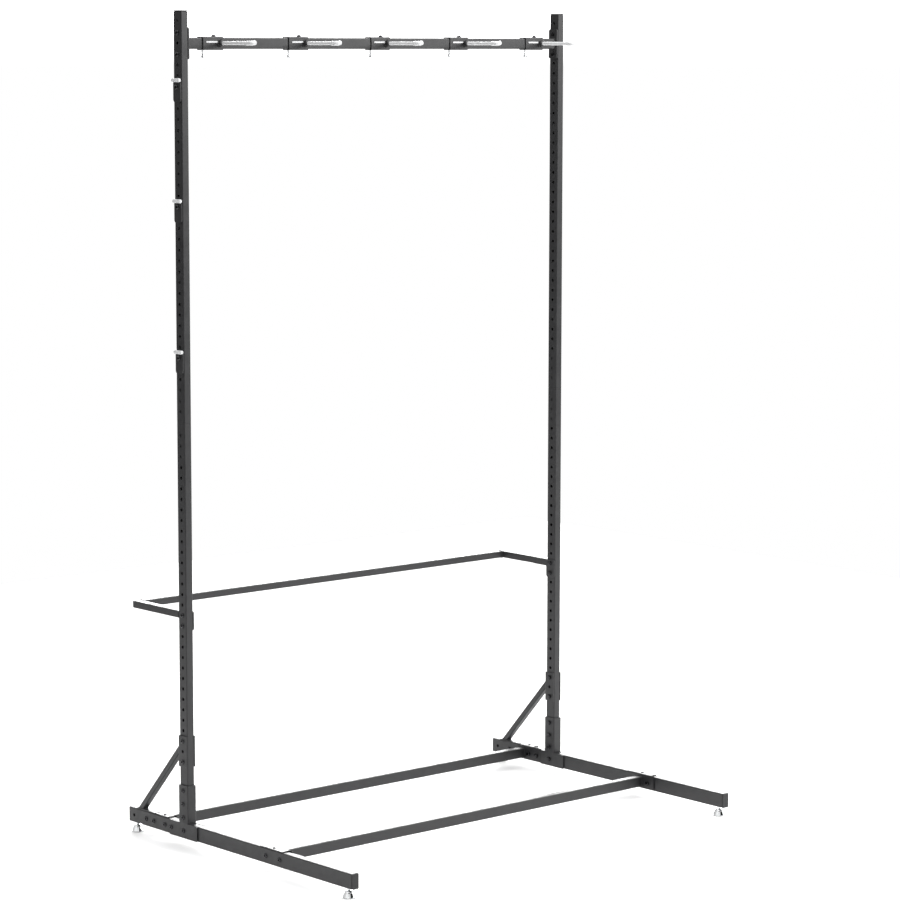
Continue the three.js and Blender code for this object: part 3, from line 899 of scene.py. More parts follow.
class STAND_OT_braces(bpy.types.Operator):
    """Sloping braces with their brackets"""
    bl_idname = "stand.braces"
    bl_label = "Braces"

    strut_width = 0.016
    strut_depth = 0.014
    meets_upright = 0.2365
    meets_leg = 0.1791
    window = 0.231
    bracket_low = 0.194
    foot_front = 0.117
    cheek_rear = 0.165
    cheek_drop = 0.030

    def execute(self, context):
        for side in SIDES:
            self.bracket(side)
            bm = skin(strut_ends(side, plates().edge))
            add(f"{side.name}_strut", bm, "powder", "frame")
            self.foot(side)
        return {"FINISHED"}

    def bracket(self, side):
        """Bracket bent round the back of the upright, with a window over one hole"""
        sizes = plates()
        node = f"{side.name}_brace"
        inner = side.half_width + sizes.gap
        outer = inner + sizes.brace
        front = side.y - side.half_depth
        web = side.y + side.half_depth + sizes.gap
        rear = web + sizes.brace
        corners = [(side.x - outer, front, 0), (side.x - outer, rear, sizes.bend),
                   (side.x + outer, rear, sizes.bend), (side.x + outer, front, 0),
                   (side.x + inner, front, 0), (side.x + inner, web, sizes.inner_bend),
                   (side.x - inner, web, sizes.inner_bend), (side.x - inner, front, 0)]
        bm = prism("Z", filleted(corners), self.bracket_low, box(node).high.z)
        reach = outer + sizes.brace
        hole = [(tubes().hole / 2, side.x - reach), (tubes().hole / 2, side.x + reach)]
        window = turned("X", side.y, self.window, hole, sides=24)
        add(f"{node}_bracket", bm, "powder", "frame", node, cut=window, edge=sizes.edge)

    def foot(self, side):
        """Angle that lies on the leg and hangs down its inner face"""
        sizes = plates()
        node = f"{side.name}_brace"
        rear = box(node).high.y
        low = side.leg.high.z - self.cheek_drop
        bm = leg_angle(side, sizes.brace, low, leg_top(side, sizes.brace), side.y + self.foot_front, rear)
        ends = sorted((inner_face(side) + side.outward * sizes.edge, inner_face(side, 2 * sizes.brace)))
        notch = block((ends[0], side.y + self.cheek_rear, low - sizes.brace),
                      (ends[1], rear + sizes.brace, leg_top(side) - sizes.edge))
        add(f"{node}_foot", bm, "powder", "frame", cut=notch, edge=sizes.edge)


def leg_angle(side, plate, low, top, front, rear):
    """Plate down a leg's inner face, with a flange that is bent over the leg"""
    sizes = plates()
    near = inner_face(side)
    far = inner_face(side, plate)
    outer = outer_face(side)
    shelf = leg_top(side)
    corners = [(near, low, 0), (far, low, 0), (far, top, sizes.bend), (outer, top, 0), (outer, shelf, 0),
               (near, shelf, sizes.inner_bend)]
    return prism("Y", filleted(corners), front, rear)


def strut_ends(side, sunk=0.0):
    """Rings at the strut's two cut ends, sunk into the upright's bracket and the leg's angle"""
    sizes = plates()
    brace = STAND_OT_braces
    web = side.y + side.half_depth + sizes.gap + sizes.brace
    shelf = leg_top(side, sizes.brace)
    top = Vector((side.x, web, brace.meets_upright))
    foot = Vector((side.x, side.y + brace.meets_leg, shelf))
    along = (foot - top).normalized()
    across = Vector((0, along.z, -along.y))
    ends = [[], []]
    for u, v in rounded_rectangle(0, 0, brace.strut_width, brace.strut_depth, tubes().small_corner):
        start = top + Vector((u, 0, 0)) + across * v
        ends[0].append(start + along * ((web - sunk - start.y) / along.y))
        ends[1].append(start + along * ((shelf - sunk - start.z) / along.z))
    return ends


# Bars, wheel rest and beam

class STAND_OT_cross_bars(bpy.types.Operator):
    """Floor cross bars with their end plates"""
    bl_idname = "stand.cross_bars"
    bl_label = "Cross bars"

    depth = 0.020
    height = 0.026
    wall = 0.0015
    # Node, and the fronts of its tube and of its flange, from the uprights' middle
    bars = (("rear_cross_bar", 0.0947, 0.066), ("front_cross_bar", -0.3442, -0.374))

    def execute(self, context):
        sizes = plates()
        left = SIDES[0]
        for node, front, flange_front in self.bars:
            ends = [inner_face(side, sizes.bar / 2) for side in SIDES]
            bm = tube("X", left.y + front + self.depth / 2, left.leg.middle.z, self.depth, self.height,
                      self.wall, tubes().corner, *ends)
            add(f"{node}_tube", bm, "powder", "frame", node)
            for side in SIDES:
                self.plate(node, side, left.y + flange_front)
        return {"FINISHED"}

    def plate(self, node, side, flange_front):
        """Plate against the leg's inner face, with a flange bent over the leg"""
        sizes = plates()
        place = box(node)
        bm = leg_angle(side, sizes.bar, place.low.z, place.high.z, place.low.y, place.high.y)
        ends = sorted((inner_face(side, sizes.edge), outer_face(side) + side.outward * sizes.bar))
        notch = block((ends[0], place.low.y - sizes.bar, leg_top(side) - sizes.edge),
                      (ends[1], flange_front, place.high.z + sizes.bar))
        add(f"{node}_{side.name}_plate", bm, "powder", "frame", cut=notch, edge=sizes.edge)


class STAND_OT_wheel_rest(bpy.types.Operator):
    """Arms, plates and bar that the rear wheels lean on"""
    bl_idname = "stand.wheel_rest"
    bl_label = "Wheel rest"

    height = 0.017
    tongue_reach = 0.062
    heel_corner = 0.002
    tongue_corner = 0.001
    plug_corner = 0.0006
    plug_length = 0.008
    plug_inset = 0.0004

    def execute(self, context):
        sizes = tubes()
        bar = box("rest_bar")
        bm = tube("X", bar.middle.y, bar.middle.z, bar.size.y, bar.size.z, sizes.wall, sizes.small_corner,
                  bar.low.x, bar.high.x)
        add("rest_bar_tube", bm, "powder", "wheel_rest", "rest_bar")
        for side in SIDES:
            node = f"{side.name}_rest_arm"
            place = box(node)
            arm_inner = inner_face(side, plates().rest / 2)
            middle = (outer_face(side) + arm_inner) / 2
            width = abs(outer_face(side) - arm_inner)
            bm = tube("Y", middle, bar.middle.z, width, self.height, sizes.wall, sizes.small_corner,
                      side.y + side.half_depth + plates().gap, place.high.y)
            add(f"{node}_tube", bm, "powder", "wheel_rest", node)
            self.plate(side, place)
            plug = rounded_rectangle(middle, bar.middle.z, width - 2 * sizes.wall,
                                     self.height - 2 * sizes.wall, self.plug_corner)
            bm = prism("Y", plug, place.high.y - self.plug_length, place.high.y - self.plug_inset)
            add(f"{node}_plug", bm, "plastic", "wheel_rest")
        return {"FINISHED"}

    def plate(self, side, place):
        """Flat plate with rounded corners, bolted to the upright's inner face"""
        sizes = plates()
        rear = side.y + self.tongue_reach
        heel = 2 * side.y - place.low.y
        shelf = place.high.z - self.height
        corners = [(place.low.y, place.low.z, sizes.corner), (heel, place.low.z, sizes.corner),
                   (heel, shelf, self.heel_corner), (rear, shelf, self.tongue_corner),
                   (rear, place.high.z, self.tongue_corner), (place.low.y, place.high.z, sizes.corner)]
        bm = prism("X", filleted(corners), *sorted((inner_face(side), inner_face(side, sizes.rest))))
        add(f"{side.name}_rest_plate", bm, "powder", "wheel_rest", edge=sizes.edge)


class STAND_OT_beam(bpy.types.Operator):
    """Beam that carries the hooks, with its end plates"""
    bl_idname = "stand.beam"
    bl_label = "Beam"

    height = 0.026
    depth = 0.020
    wall = 0.0018

    def execute(self, context):
        sizes = plates()
        bm = tube("X", BEAM.middle.y, BEAM.middle.z, self.depth, self.height, self.wall, tubes().corner,
                  BEAM.low.x + sizes.beam / 2, BEAM.high.x - sizes.beam / 2)
        add("top_beam_tube", bm, "powder", "frame", "top_beam")
        outline = rounded_rectangle(BEAM.middle.y, BEAM.middle.z, BEAM.size.y, BEAM.size.z, sizes.corner)
        for side in SIDES:
            end = end_at(side, BEAM)
            bm = prism("X", outline, *sorted((end, end - side.outward * sizes.beam)))
            add(f"top_beam_{side.name}_plate", bm, "powder", "frame", edge=sizes.edge)
        return {"FINISHED"}


# Hooks

class STAND_OT_bike_hooks(bpy.types.Operator):
    """Sliding sleeves, coated rods and lock screws"""
    bl_idname = "stand.bike_hooks"
    bl_label = "Bike hooks"

    half_length = 0.029
    clearance = 0.0003
    boss_bevel = 0.0006
    # Weld round the boss: how far it stands out, and how far it lies in front of the sleeve
    boss_weld = ((0, 0.0016), (0.0009, 0.0006), (0.0014, -0.0004))
    # Strip: inset of its outline, and how far it lies in front of the sleeve
    strip_profile = ((0, -0.0002), (0, 0.0005), (0.0002, 0.00085), (0.0006, 0.001))
    strip_flat = 0.0001
    washer = 0.001
    washer_bevel = 0.0004
    washer_reach = 0.0012
    dome_rise = 0.0006
    sunk = 0.0002
    # Start of the grip: way from the collar, and how far inside the grip's radius
    grip_profile = ((0.0, 0.0008), (-0.0006, 0.0002), (-0.0014, 0.0))
    rod_step = 0.002
    collar_step = 0.0004
    # Tip: its rounding and its flat end as shares of the grip's radius, and the level share of the turn
    tip_round = 0.35
    tip_flat = 0.55
    level_share = 0.6
    reach_steps = 8
    tip_steps = 5
    lock_depth = 0.0004
    lock_pitch = 0.0008
    # Hub of the wing: how far inside its radius, and how high
    hub_foot = ((0.0012, 0.0), (0.0003, 0.0008), (0.0, 0.003))
    hub_head = ((0.0004, 0.0006), (0.001, 0.0))
    # Wing: share of its reach, height and corner radius, from its middle outwards
    wing = ((0.55, 0.0, 0.0008), (1, 0.0002, 0.0014), (1, 0.0046, 0.0022), (0.45, 0.0038, 0.0012))
    wing_half_thickness = 0.0013
    wing_edge = 0.0005

    def execute(self, context):
        for name in HOOK_NAMES:
            x = box(f"{name}_lock_knob").middle.x - hooks().lock_offset
            self.sleeve(name, x)
            self.rod(name, x)
            self.lock(name)
        return {"FINISHED"}

    def sleeve(self, name, x):
        """Sleeve round the beam with its boss, light strip and top bolt"""
        sizes = hooks()
        beam = STAND_OT_beam
        depth = beam.depth + 2 * (self.clearance + sizes.sleeve_wall)
        height = beam.height + 2 * (self.clearance + sizes.sleeve_wall)
        front = BEAM.middle.y - depth / 2
        z = BEAM.middle.z
        bm = tube("X", BEAM.middle.y, z, depth, height, sizes.sleeve_wall, tubes().corner,
                  x - self.half_length, x + self.half_length)
        nose = front - sizes.boss_length
        boss = [(sizes.boss - self.boss_bevel, nose), (sizes.boss, nose + self.boss_bevel)]
        boss += [(sizes.boss + out, front - before) for out, before in self.boss_weld]
        turned("Y", x + sizes.rod_offset, z + sizes.rod_rise, boss, bm=bm)
        add(f"{name}_slider", bm, "powder", name, f"{name}_sleeve")
        self.strip(name, x, front)
        self.top_bolt(name, x + sizes.bolt_offset, z + height / 2, box(f"{name}_sleeve").high.z)

    def strip(self, name, x, front):
        """Light ridge along the sleeve's face"""
        sizes = hooks()
        z = BEAM.middle.z + sizes.strip_rise
        start = x - self.half_length + sizes.strip_start
        end = x + self.half_length - sizes.strip_end
        rings = []
        for inset, before in self.strip_profile:
            height = sizes.strip_height - 2 * inset
            outline = rounded_rectangle((start + end) / 2, z, end - start - 2 * inset, height,
                                        height / 2 - self.strip_flat)
            rings.append(placed("Y", outline, front - before))
        add(f"{name}_ridge", skin(rings), "coating", name)

    def top_bolt(self, name, x, seat, top):
        """Dome head on the sleeve, over a thin washer"""
        radius = hooks().bolt
        dome = radius - self.washer_reach
        base = seat + self.washer + self.dome_rise
        profile = [(radius, seat - self.sunk), (radius, seat + self.washer - self.washer_bevel),
                   (radius - self.washer_bevel, seat + self.washer), (dome, seat + self.washer)]
        for angle in quarter(6)[:-1]:
            profile.append((dome * math.cos(angle), base + (top - base) * math.sin(angle)))
        bm = turned("Z", x, BEAM.middle.y, profile, sides=24)
        add(f"{name}_top_bolt", bm, "screw", name)

    def rod(self, name, x):
        """Coated rod that turns to the right and ends in a thicker, raised grip"""
        sizes = hooks()
        node = f"{name}_rod"
        place = box(node)
        z = BEAM.middle.z + sizes.rod_rise
        line = place.low.y + sizes.grip
        left = x + sizes.rod_offset
        turn_y = line + sizes.bend
        collar = turn_y + sizes.grip
        stations = [(place.high.y, sizes.rod), (place.high.y - self.rod_step, sizes.rod),
                    (collar + self.collar_step, sizes.rod)]
        stations += [(collar + offset, sizes.grip - inset) for offset, inset in self.grip_profile]
        path = [Vector((left, y, z)) for y, radius in stations]
        radii = [radius for y, radius in stations]
        right = left + sizes.bend
        for u, y in arc(right, turn_y, sizes.bend, [angle + math.pi for angle in quarter(9)]):
            path.append(Vector((u, y, z)))
        end = place.high.x - sizes.grip * self.tip_round
        lift_start = right + sizes.turn * self.level_share
        lift_length = sizes.turn * (1 - self.level_share) + sizes.tip
        for step in range(1, self.reach_steps + 1):
            reach = right + (end - right) * step / self.reach_steps
            lift = max(reach - lift_start, 0) / lift_length
            path.append(Vector((reach, line, z + sizes.tip_rise * lift)))
        radii += [sizes.grip] * (len(path) - len(radii))
        last = path[-1]
        heading = (last - path[-2]).normalized()
        for step in range(1, self.tip_steps + 1):
            angle = step / (self.tip_steps + 0.5) * math.pi / 2
            path.append(last + heading * (sizes.grip * self.tip_round * math.sin(angle)))
            radii.append(sizes.grip * (self.tip_flat + (1 - self.tip_flat) * math.cos(angle)))
        add(f"{name}_coated_rod", swept(path, radii), "coating", name, node)

    def lock(self, name):
        """Threaded lock screw and its wing"""
        screw = f"{name}_lock_screw"
        bm = threaded(box(screw), self.lock_depth, self.lock_pitch, sides=14)
        add(f"{name}_lock_thread", bm, "zinc", f"{name}_lock", screw)
        node = f"{name}_lock_knob"
        knob = box(node)
        x = knob.middle.x
        y = knob.middle.y
        hub = knob.size.y / 2
        profile = [(hub - inset, knob.low.z + rise) for inset, rise in self.hub_foot]
        profile += [(hub - inset, knob.high.z - drop) for inset, drop in self.hub_head]
        bm = turned("Z", x, y, profile, sides=24)
        reach = knob.size.x / 2
        right = [(x + share * reach, knob.low.z + rise, radius) for share, rise, radius in self.wing]
        left = [(2 * x - u, v, radius) for u, v, radius in reversed(right)]
        prism("Y", filleted(right + left), y - self.wing_half_thickness, y + self.wing_half_thickness, bm)
        add(f"{name}_wing", bm, "zinc", f"{name}_lock_wing", node, edge=self.wing_edge)


class STAND_OT_helmet_hooks(bpy.types.Operator):
    """Bolted straps with their padded lips"""
    bl_idname = "stand.helmet_hooks"
    bl_label = "Helmet hooks"

    strap_round = 0.55
    pad_rounding = 0.0018

    def execute(self, context):
        for name in HELMET_NAMES:
            node = f"{name}_strap"
            strap = box(node)
            radius = strap.size.y / 2 * self.strap_round
            corners = [(strap.low.y, strap.low.z, radius), (strap.high.y, strap.low.z, radius),
                       (strap.high.y, strap.high.z, 0), (strap.low.y, strap.high.z, 0)]
            bm = prism("X", filleted(corners, 8), strap.low.x, strap.high.x)
            add(f"{name}_plate", bm, "powder", name, node, edge=plates().edge)
            self.pad(name)
        return {"FINISHED"}

    def pad(self, name):
        """Soft roll over the strap's lip, its ends well rounded"""
        node = f"{name}_pad"
        place = box(node)
        rounding = self.pad_rounding
        profile = []
        for angle in quarter(ARC_STEPS):
            along = place.size.y / 2 - rounding * (1 - math.cos(angle))
            profile.append((place.size.x / 2 - rounding * (1 - math.sin(angle)), along))
        front = [(radius, place.middle.y - along) for radius, along in profile]
        rear = [(radius, place.middle.y + along) for radius, along in reversed(profile)]
        bm = turned("Y", place.middle.x, place.middle.z, front + rear, sides=28)
        add(f"{name}_roll", bm, "rubber", name, node)


# Fasteners

HEAD_SIDES = 24
SEAT = -0.0001
CUT_CORNER = 1.02


def hexagon(flat, z, cap=math.inf):
    """Ring of a hexagon whose corners are cut at a radius"""
    points = []
    for angle in full_turn(HEAD_SIDES):
        radius = min(flat / math.cos((angle + math.pi / 6) % (math.pi / 3) - math.pi / 6), cap)
        points += placed("Z", arc(0, 0, radius, [angle]), z)
    return points


def button_head():
    """Button head with a hexagon socket, seated on the plane z = 0"""
    sizes = fasteners()
    radius = sizes.head / 2
    height = sizes.head_height
    key = sizes.key / 2
    bevel = 0.0002
    dome = [(key * 1.22, height), (radius * 0.62, height - bevel), (radius * 0.86, height * 0.66),
            (radius * 0.98, height * 0.30), (radius, height * 0.08), (radius * 0.97, SEAT)]
    rings = [hexagon(key, height - sizes.key_depth), hexagon(key, height - bevel)]
    rings += [placed("Z", arc(0, 0, r, full_turn(HEAD_SIDES)), z) for r, z in dome]
    return new_object("button_head", skin(rings))


def lock_nut():
    """Hexagon nut with a chamfer, its collar and the screw's end"""
    sizes = fasteners()
    corner = sizes.nut / 2
    flat = corner * math.cos(math.pi / 6)
    height = sizes.nut_height
    chamfer = 0.0006
    # Collar and screw: share of half the width over the flats, and share of the height
    collar = ((1.01, 0.74), (0.90, 0.76), (0.88, 0.94), (0.80, 0.99), (0.60, 0.99), (0.58, 0.9),
              (0.50, 0.9), (0.48, 1), (0.42, 1))
    rings = [hexagon(flat, SEAT, flat * CUT_CORNER), hexagon(flat, chamfer, corner),
             hexagon(flat, height * 0.62, corner)]
    rings += [hexagon(flat, height * rise, flat * share) for share, rise in collar]
    return new_object("lock_nut", skin(rings))


def flange_screw():
    """Small dome screw with a cross recess"""
    radius = fasteners().small_head / 2
    dome = ((1, SEAT), (1, 0.0003), (0.93, 0.0009), (0.75, 0.0014), (0.45, 0.0017), (0.2, 0.0018))
    profile = [(radius * share, z) for share, z in dome]
    piece = new_object("flange_screw", turned("Z", 0, 0, profile, sides=20))
    arm = radius * 0.55
    thick = 0.00035
    recess_floor = 0.0007
    above = 0.003
    cross = [(-arm, -thick), (-thick, -thick), (-thick, -arm), (thick, -arm), (thick, -thick), (arm, -thick),
             (arm, thick), (thick, thick), (thick, arm), (-thick, arm), (-thick, thick), (-arm, thick)]
    return boolean(piece, "DIFFERENCE", prism("Z", cross, recess_floor, above))


def jam_nut():
    """Low hexagon nut against the underside of a leg, hanging down from the plane z = 0"""
    sizes = feet()
    corner = sizes.jam_nut / 2
    flat = corner * math.cos(math.pi / 6)
    chamfer = 0.0005
    rings = [hexagon(flat, 0, flat * CUT_CORNER), hexagon(flat, chamfer, corner),
             hexagon(flat, sizes.jam_height - chamfer, corner),
             hexagon(flat, sizes.jam_height, flat * CUT_CORNER)]
    return new_object("jam_nut", skin(rings))


def threaded_insert():
    """Thin flange of an insert with the screw's end in it"""
    profile = [(0.006, SEAT), (0.006, 0.0005), (0.0055, 0.0009), (0.0035, 0.0009), (0.0033, 0.0003),
               (0.003, 0.0003), (0.0028, 0.0013), (0.0022, 0.0015)]
    return new_object("threaded_insert", turned("Z", 0, 0, profile, sides=24))


class STAND_OT_fasteners(bpy.types.Operator):
    """Button heads, lock nuts, flange screws and inserts"""
    bl_idname = "stand.fasteners"
    bl_label = "Screws and nuts"

    # Height and pitch of the sockets' bolts, then places from the uprights' middle
    socket_top = 0.1367
    socket_pitch = 0.0322
    socket_bolts = 4
    foot_bolts = (0.1236, 0.1534)
    cheek_bolt = 0.048
    bar_bolts = (0.078, -0.3135, -0.3643)
    flange_screws = (0.090, -0.333)
    rest_holes = (13, 14)

    def execute(self, context):
        models = {"head": button_head(), "nut": lock_nut(), "small": flange_screw(),
                  "insert": threaded_insert(), "jam": jam_nut()}
        tree = fastener_tree()
        for (kind, body), points in self.plan().items():
            mesh = bpy.data.meshes.new(f"{body}_{kind}_points")
            mesh.from_pydata([tuple(point) for point, facing in points], [], [])
            facings = mesh.attributes.new("facing", "FLOAT_VECTOR", "POINT")
            for index, (point, facing) in enumerate(points):
                facings.data[index].vector = facing
            piece = linked(f"{body}_{kind}s", mesh)
            finish = "chrome" if kind == "jam" else "screw"
            apply_tree(piece, tree, Fastener=models[kind], Material=finish_of(finish))
            fit(piece, finish, body)
        for model in models.values():
            remove(model)
        return {"FINISHED"}

    def plan(self):
        """Every fastener's kind and body, with its points and the way they face"""
        sizes = plates()
        plan = {}

        def put(kind, body, x, y, z, *facing):
            plan.setdefault((kind, body), []).append((Vector((x, y, z)), Vector(facing)))

        pitch = tubes().pitch
        middle = SIDES[0].leg.middle.z
        window = STAND_OT_braces.window
        socket = [(0, self.socket_top - bolt * self.socket_pitch) for bolt in range(self.socket_bolts)]
        bracket = [(0, window + pitch), (0, window - pitch)]
        foot = [(y, middle) for y in self.foot_bolts]
        cheek = [(self.cheek_bolt, middle)]
        bar = [(y, middle) for y in self.bar_bolts]
        rest = [(0, tubes().lower_hole + hole * pitch) for hole in self.rest_holes]
        beam = [(0, BEAM.middle.z + pitch), (0, BEAM.middle.z - pitch)]
        over_socket = sizes.gap + sizes.socket
        over_brace = sizes.gap + sizes.brace
        # Kind, body, 1 outside or -1 inside the stand, what lies over the tube, and the bolts
        faces = (
            ("head", "frame", 1, over_socket, socket + cheek),
            ("head", "frame", 1, over_brace, bracket),
            ("head", "frame", 1, 0, foot + bar + beam),
            ("head", "wheel_rest", 1, 0, rest),
            ("nut", "frame", -1, over_socket, socket),
            ("nut", "frame", -1, over_brace, bracket + foot),
            ("nut", "frame", -1, sizes.gap + sizes.bar, cheek + bar),
            ("nut", "wheel_rest", -1, sizes.gap + sizes.rest, rest),
            ("insert", "frame", -1, sizes.gap + sizes.beam, beam),
        )
        for side in SIDES:
            for kind, body, outside, over, bolts in faces:
                facing = side.outward * outside
                for y, z in bolts:
                    put(kind, body, side.x + facing * (side.half_width + over), side.y + y, z, facing, 0, 0)
            for y in self.flange_screws:
                put("small", "frame", side.x, side.y + y, leg_top(side, sizes.flange), 0, 0, 1)
        for name in FOOT_NAMES:
            stem = box(f"{name}_foot_stem")
            put("jam", "frame", stem.middle.x, stem.middle.y, SIDES[0].leg.low.z, 0, 0, -1)
        left = SIDES[0]
        first = tubes().upper_hole
        for name in HELMET_NAMES:
            row = round((box(f"{name}_pad").middle.z - hooks().strap_bolt - first) / pitch)
            height = first + row * pitch
            put("head", name, box(f"{name}_strap").low.x, left.y, height, -1, 0, 0)
            put("nut", name, left.x + left.half_width, left.y, height, 1, 0, 0)
        return plan


# Welds

def weld_lines():
    """Closed lines of points for each body, where two pieces are welded"""
    sizes = plates()
    lines = {"frame": [], "wheel_rest": []}
    bars = STAND_OT_cross_bars
    beam = STAND_OT_beam
    corner = tubes().corner
    middle = SIDES[0].leg.middle.z
    rest = box("rest_bar")
    for side in SIDES:
        for node, front, flange_front in bars.bars:
            y = side.y + front + bars.depth / 2
            outline = rounded_rectangle(y, middle, bars.depth, bars.height, corner)
            lines["frame"].append(placed("X", outline, inner_face(side, sizes.bar)))
        outline = rounded_rectangle(BEAM.middle.y, BEAM.middle.z, beam.depth, beam.height, corner)
        lines["frame"].append(placed("X", outline, end_at(side, BEAM) - side.outward * sizes.beam))
        lines["frame"] += strut_ends(side)
        outline = rounded_rectangle(rest.middle.y, rest.middle.z, rest.size.y, rest.size.z,
                                    tubes().small_corner)
        lines["wheel_rest"].append(placed("X", outline, end_at(side, rest)))
    return lines


class STAND_OT_welds(bpy.types.Operator):
    """Weld beads between the tubes and their plates"""
    bl_idname = "stand.welds"
    bl_label = "Welds"

    def execute(self, context):
        tree = weld_tree()
        sizes = fasteners()
        for body, lines in weld_lines().items():
            points = []
            edges = []
            for line in lines:
                first = len(points)
                points.extend(tuple(point) for point in line)
                edges.extend((first + index, first + (index + 1) % len(line)) for index in range(len(line)))
            mesh = bpy.data.meshes.new(f"{body}_weld_lines")
            mesh.from_pydata(points, edges, [])
            piece = linked(f"{body}_welds", mesh)
            apply_tree(piece, tree, Step=sizes.weld_step, Radius=sizes.weld / 2, Material=finish_of("powder"))
            fit(piece, "powder", body)
        return {"FINISHED"}


# Stage

class STAND_OT_stage(bpy.types.Operator):
    """Pale floor, soft light and the camera"""
    bl_idname = "stand.stage"
    bl_label = "Stage"

    floor_half = 3.6
    ground = 0.04
    horizon = (86, 91)
    # Direction, angles in degrees where the card ends and where its fade ends, and its strength
    cards = (
        ((0.80, -0.60, 0.30), 20, 44, 1.7),
        ((-0.66, 0.75, -0.10), 24, 48, 0.65),
        ((0.65, 0.75, 0.16), 12, 26, 13.0),
        ((-0.62, -0.78, 0.0), 22, 38, 0.03),
        ((0.22, -0.74, 0.63), 24, 29, 0.02),
        ((0.95, 0.20, 0.19), 10, 15, 0.03),
    )
    # Name, place, target, side in metres and watts
    lamps = (
        ("key", (2.2, -2.6, 2.8), (1.0, -1.2, 0.0), 2.0, 140),
        ("top", (0.6, -0.8, 4.6), (0.2, -0.2, 0.0), 4.5, 150),
    )
    camera_place = (-4.9943, -5.79485, 1.8879)
    azimuth = math.radians(-41.09)
    pitch = math.radians(7.23)
    roll = math.radians(0.09)
    lens = 128.3
    sensor = 36.0
    clip_end = 60

    def execute(self, context):
        scene = context.scene
        half = self.floor_half
        corners = ((-half, -half, 0), (half, -half, 0), (half, half, 0), (-half, half, 0))
        bm = bmesh.new()
        bm.faces.new([bm.verts.new(corner) for corner in corners])
        new_object("studio_floor", bm, "floor")
        self.world(scene)
        for lamp in self.lamps:
            self.light(*lamp)
        camera = linked("camera", bpy.data.cameras.new("camera"))
        camera.data.lens = self.lens
        camera.data.sensor_width = self.sensor
        camera.data.clip_end = self.clip_end
        camera.matrix_world = self.camera_matrix()
        scene.camera = camera
        scene.view_settings.view_transform = "Standard"
        return {"FINISHED"}

    def camera_matrix(self):
        """Camera turned by its azimuth from the front, its pitch down and its roll"""
        sin = math.sin(self.azimuth)
        cos = math.cos(self.azimuth)
        ahead = Vector((-sin * math.cos(self.pitch), cos * math.cos(self.pitch), -math.sin(self.pitch)))
        right = Vector((cos, sin, 0))
        up = right.cross(ahead)
        tilted_right = right * math.cos(self.roll) + up * math.sin(self.roll)
        tilted_up = up * math.cos(self.roll) - right * math.sin(self.roll)
        turn = Matrix((tilted_right, tilted_up, -ahead)).transposed().to_4x4()
        return Matrix.Translation(self.camera_place) @ turn

    def light(self, name, place, target, size, watts):
        """Square light that looks at a point"""
        lamp = bpy.data.lights.new(name, "AREA")
        lamp.size = size
        lamp.energy = watts
        lit = linked(name, lamp)
        lit.location = place
        lit.rotation_euler = (Vector(target) - Vector(place)).to_track_quat("-Z", "Y").to_euler()

    def world(self, scene):
        """White backdrop, and round it a studio of bright cards, dark cards and a dark ground"""
        world = bpy.data.worlds.new("studio")
        world.use_nodes = True
        self.tree = world.node_tree
        background = self.tree.nodes["Background"]
        background.inputs["Color"].default_value = (1, 1, 1, 1)
        self.direction = add_node(self.tree, "ShaderNodeTexCoord").outputs["Generated"]
        strength = self.card((0, 0, 1), *self.horizon, 1.0, self.ground)
        for card in self.cards:
            strength = self.maths("MULTIPLY", strength, self.card(*card))
        seen = add_node(self.tree, "ShaderNodeLightPath").outputs["Is Camera Ray"]
        strength = self.maths("MAXIMUM", strength, seen)
        self.tree.links.new(strength, background.inputs["Strength"])
        scene.world = world

    def maths(self, operation, first, second):
        made = add_node(self.tree, "ShaderNodeMath")
        made.operation = operation
        self.tree.links.new(first, made.inputs[0])
        self.tree.links.new(second, made.inputs[1])
        return made.outputs["Value"]

    def card(self, toward, inner, outer, inside, outside=1.0):
        """Strength within an angle of a direction, in degrees, and past a wider angle"""
        angle = add_node(self.tree, "ShaderNodeVectorMath")
        angle.operation = "DOT_PRODUCT"
        angle.inputs[1].default_value = Vector(toward).normalized()
        self.tree.links.new(self.direction, angle.inputs[0])
        edges = [math.cos(math.radians(degrees)) for degrees in (outer, inner)]
        fade = add_node(self.tree, "ShaderNodeMapRange", From_Min=edges[0], From_Max=edges[1],
                        To_Min=outside, To_Max=inside)
        fade.interpolation_type = "SMOOTHSTEP"
        self.tree.links.new(angle.outputs["Value"], fade.inputs["Value"])
        return fade.outputs["Result"]


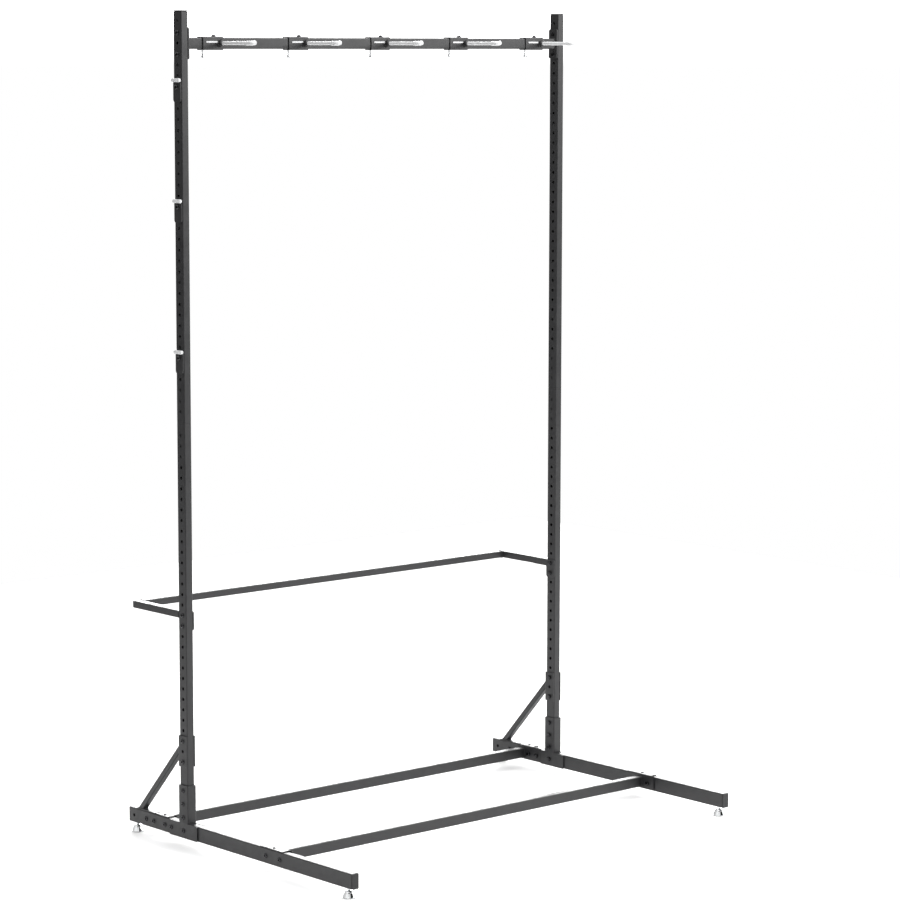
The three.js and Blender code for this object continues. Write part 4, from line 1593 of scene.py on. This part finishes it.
# Add-on

OPERATORS = (STAND_OT_uprights, STAND_OT_legs, STAND_OT_feet, STAND_OT_sockets, STAND_OT_braces,
             STAND_OT_cross_bars, STAND_OT_wheel_rest, STAND_OT_beam, STAND_OT_bike_hooks,
             STAND_OT_helmet_hooks, STAND_OT_fasteners, STAND_OT_welds, STAND_OT_stage)

GROUPS = {
    "stand_tubes": TubeSizes,
    "stand_plates": PlateSizes,
    "stand_fasteners": FastenerSizes,
    "stand_feet": FootSizes,
    "stand_hooks": HookSizes,
    "stand_colours": FinishColours,
}


class STAND_PT_panel(bpy.types.Panel):
    """Buttons for the stand's pieces, and their sizes and colours"""
    bl_idname = "STAND_PT_panel"
    bl_label = "Vertical bike stand"
    bl_space_type = "VIEW_3D"
    bl_region_type = "UI"
    bl_category = "Bike stand"

    def draw(self, context):
        for operator in OPERATORS:
            self.layout.operator(operator.bl_idname)
        for attribute, group in GROUPS.items():
            values = getattr(context.scene, attribute)
            self.layout.label(text=group.__doc__)
            for name in group.__annotations__:
                self.layout.prop(values, name)


def register():
    for group in GROUPS.values():
        bpy.utils.register_class(group)
    for attribute, group in GROUPS.items():
        setattr(bpy.types.Scene, attribute, bpy.props.PointerProperty(type=group))
    for kind in (*OPERATORS, STAND_PT_panel):
        bpy.utils.register_class(kind)


def unregister():
    for kind in (STAND_PT_panel, *reversed(OPERATORS)):
        bpy.utils.unregister_class(kind)
    for attribute, group in GROUPS.items():
        delattr(bpy.types.Scene, attribute)
        bpy.utils.unregister_class(group)


def main():
    register()
    bpy.ops.stand.uprights()
    bpy.ops.stand.legs()
    bpy.ops.stand.feet()
    bpy.ops.stand.sockets()
    bpy.ops.stand.braces()
    bpy.ops.stand.cross_bars()
    bpy.ops.stand.wheel_rest()
    bpy.ops.stand.beam()
    bpy.ops.stand.bike_hooks()
    bpy.ops.stand.helmet_hooks()
    bpy.ops.stand.fasteners()
    bpy.ops.stand.welds()
    bpy.ops.stand.stage()


if __name__ == "__main__":
    main()
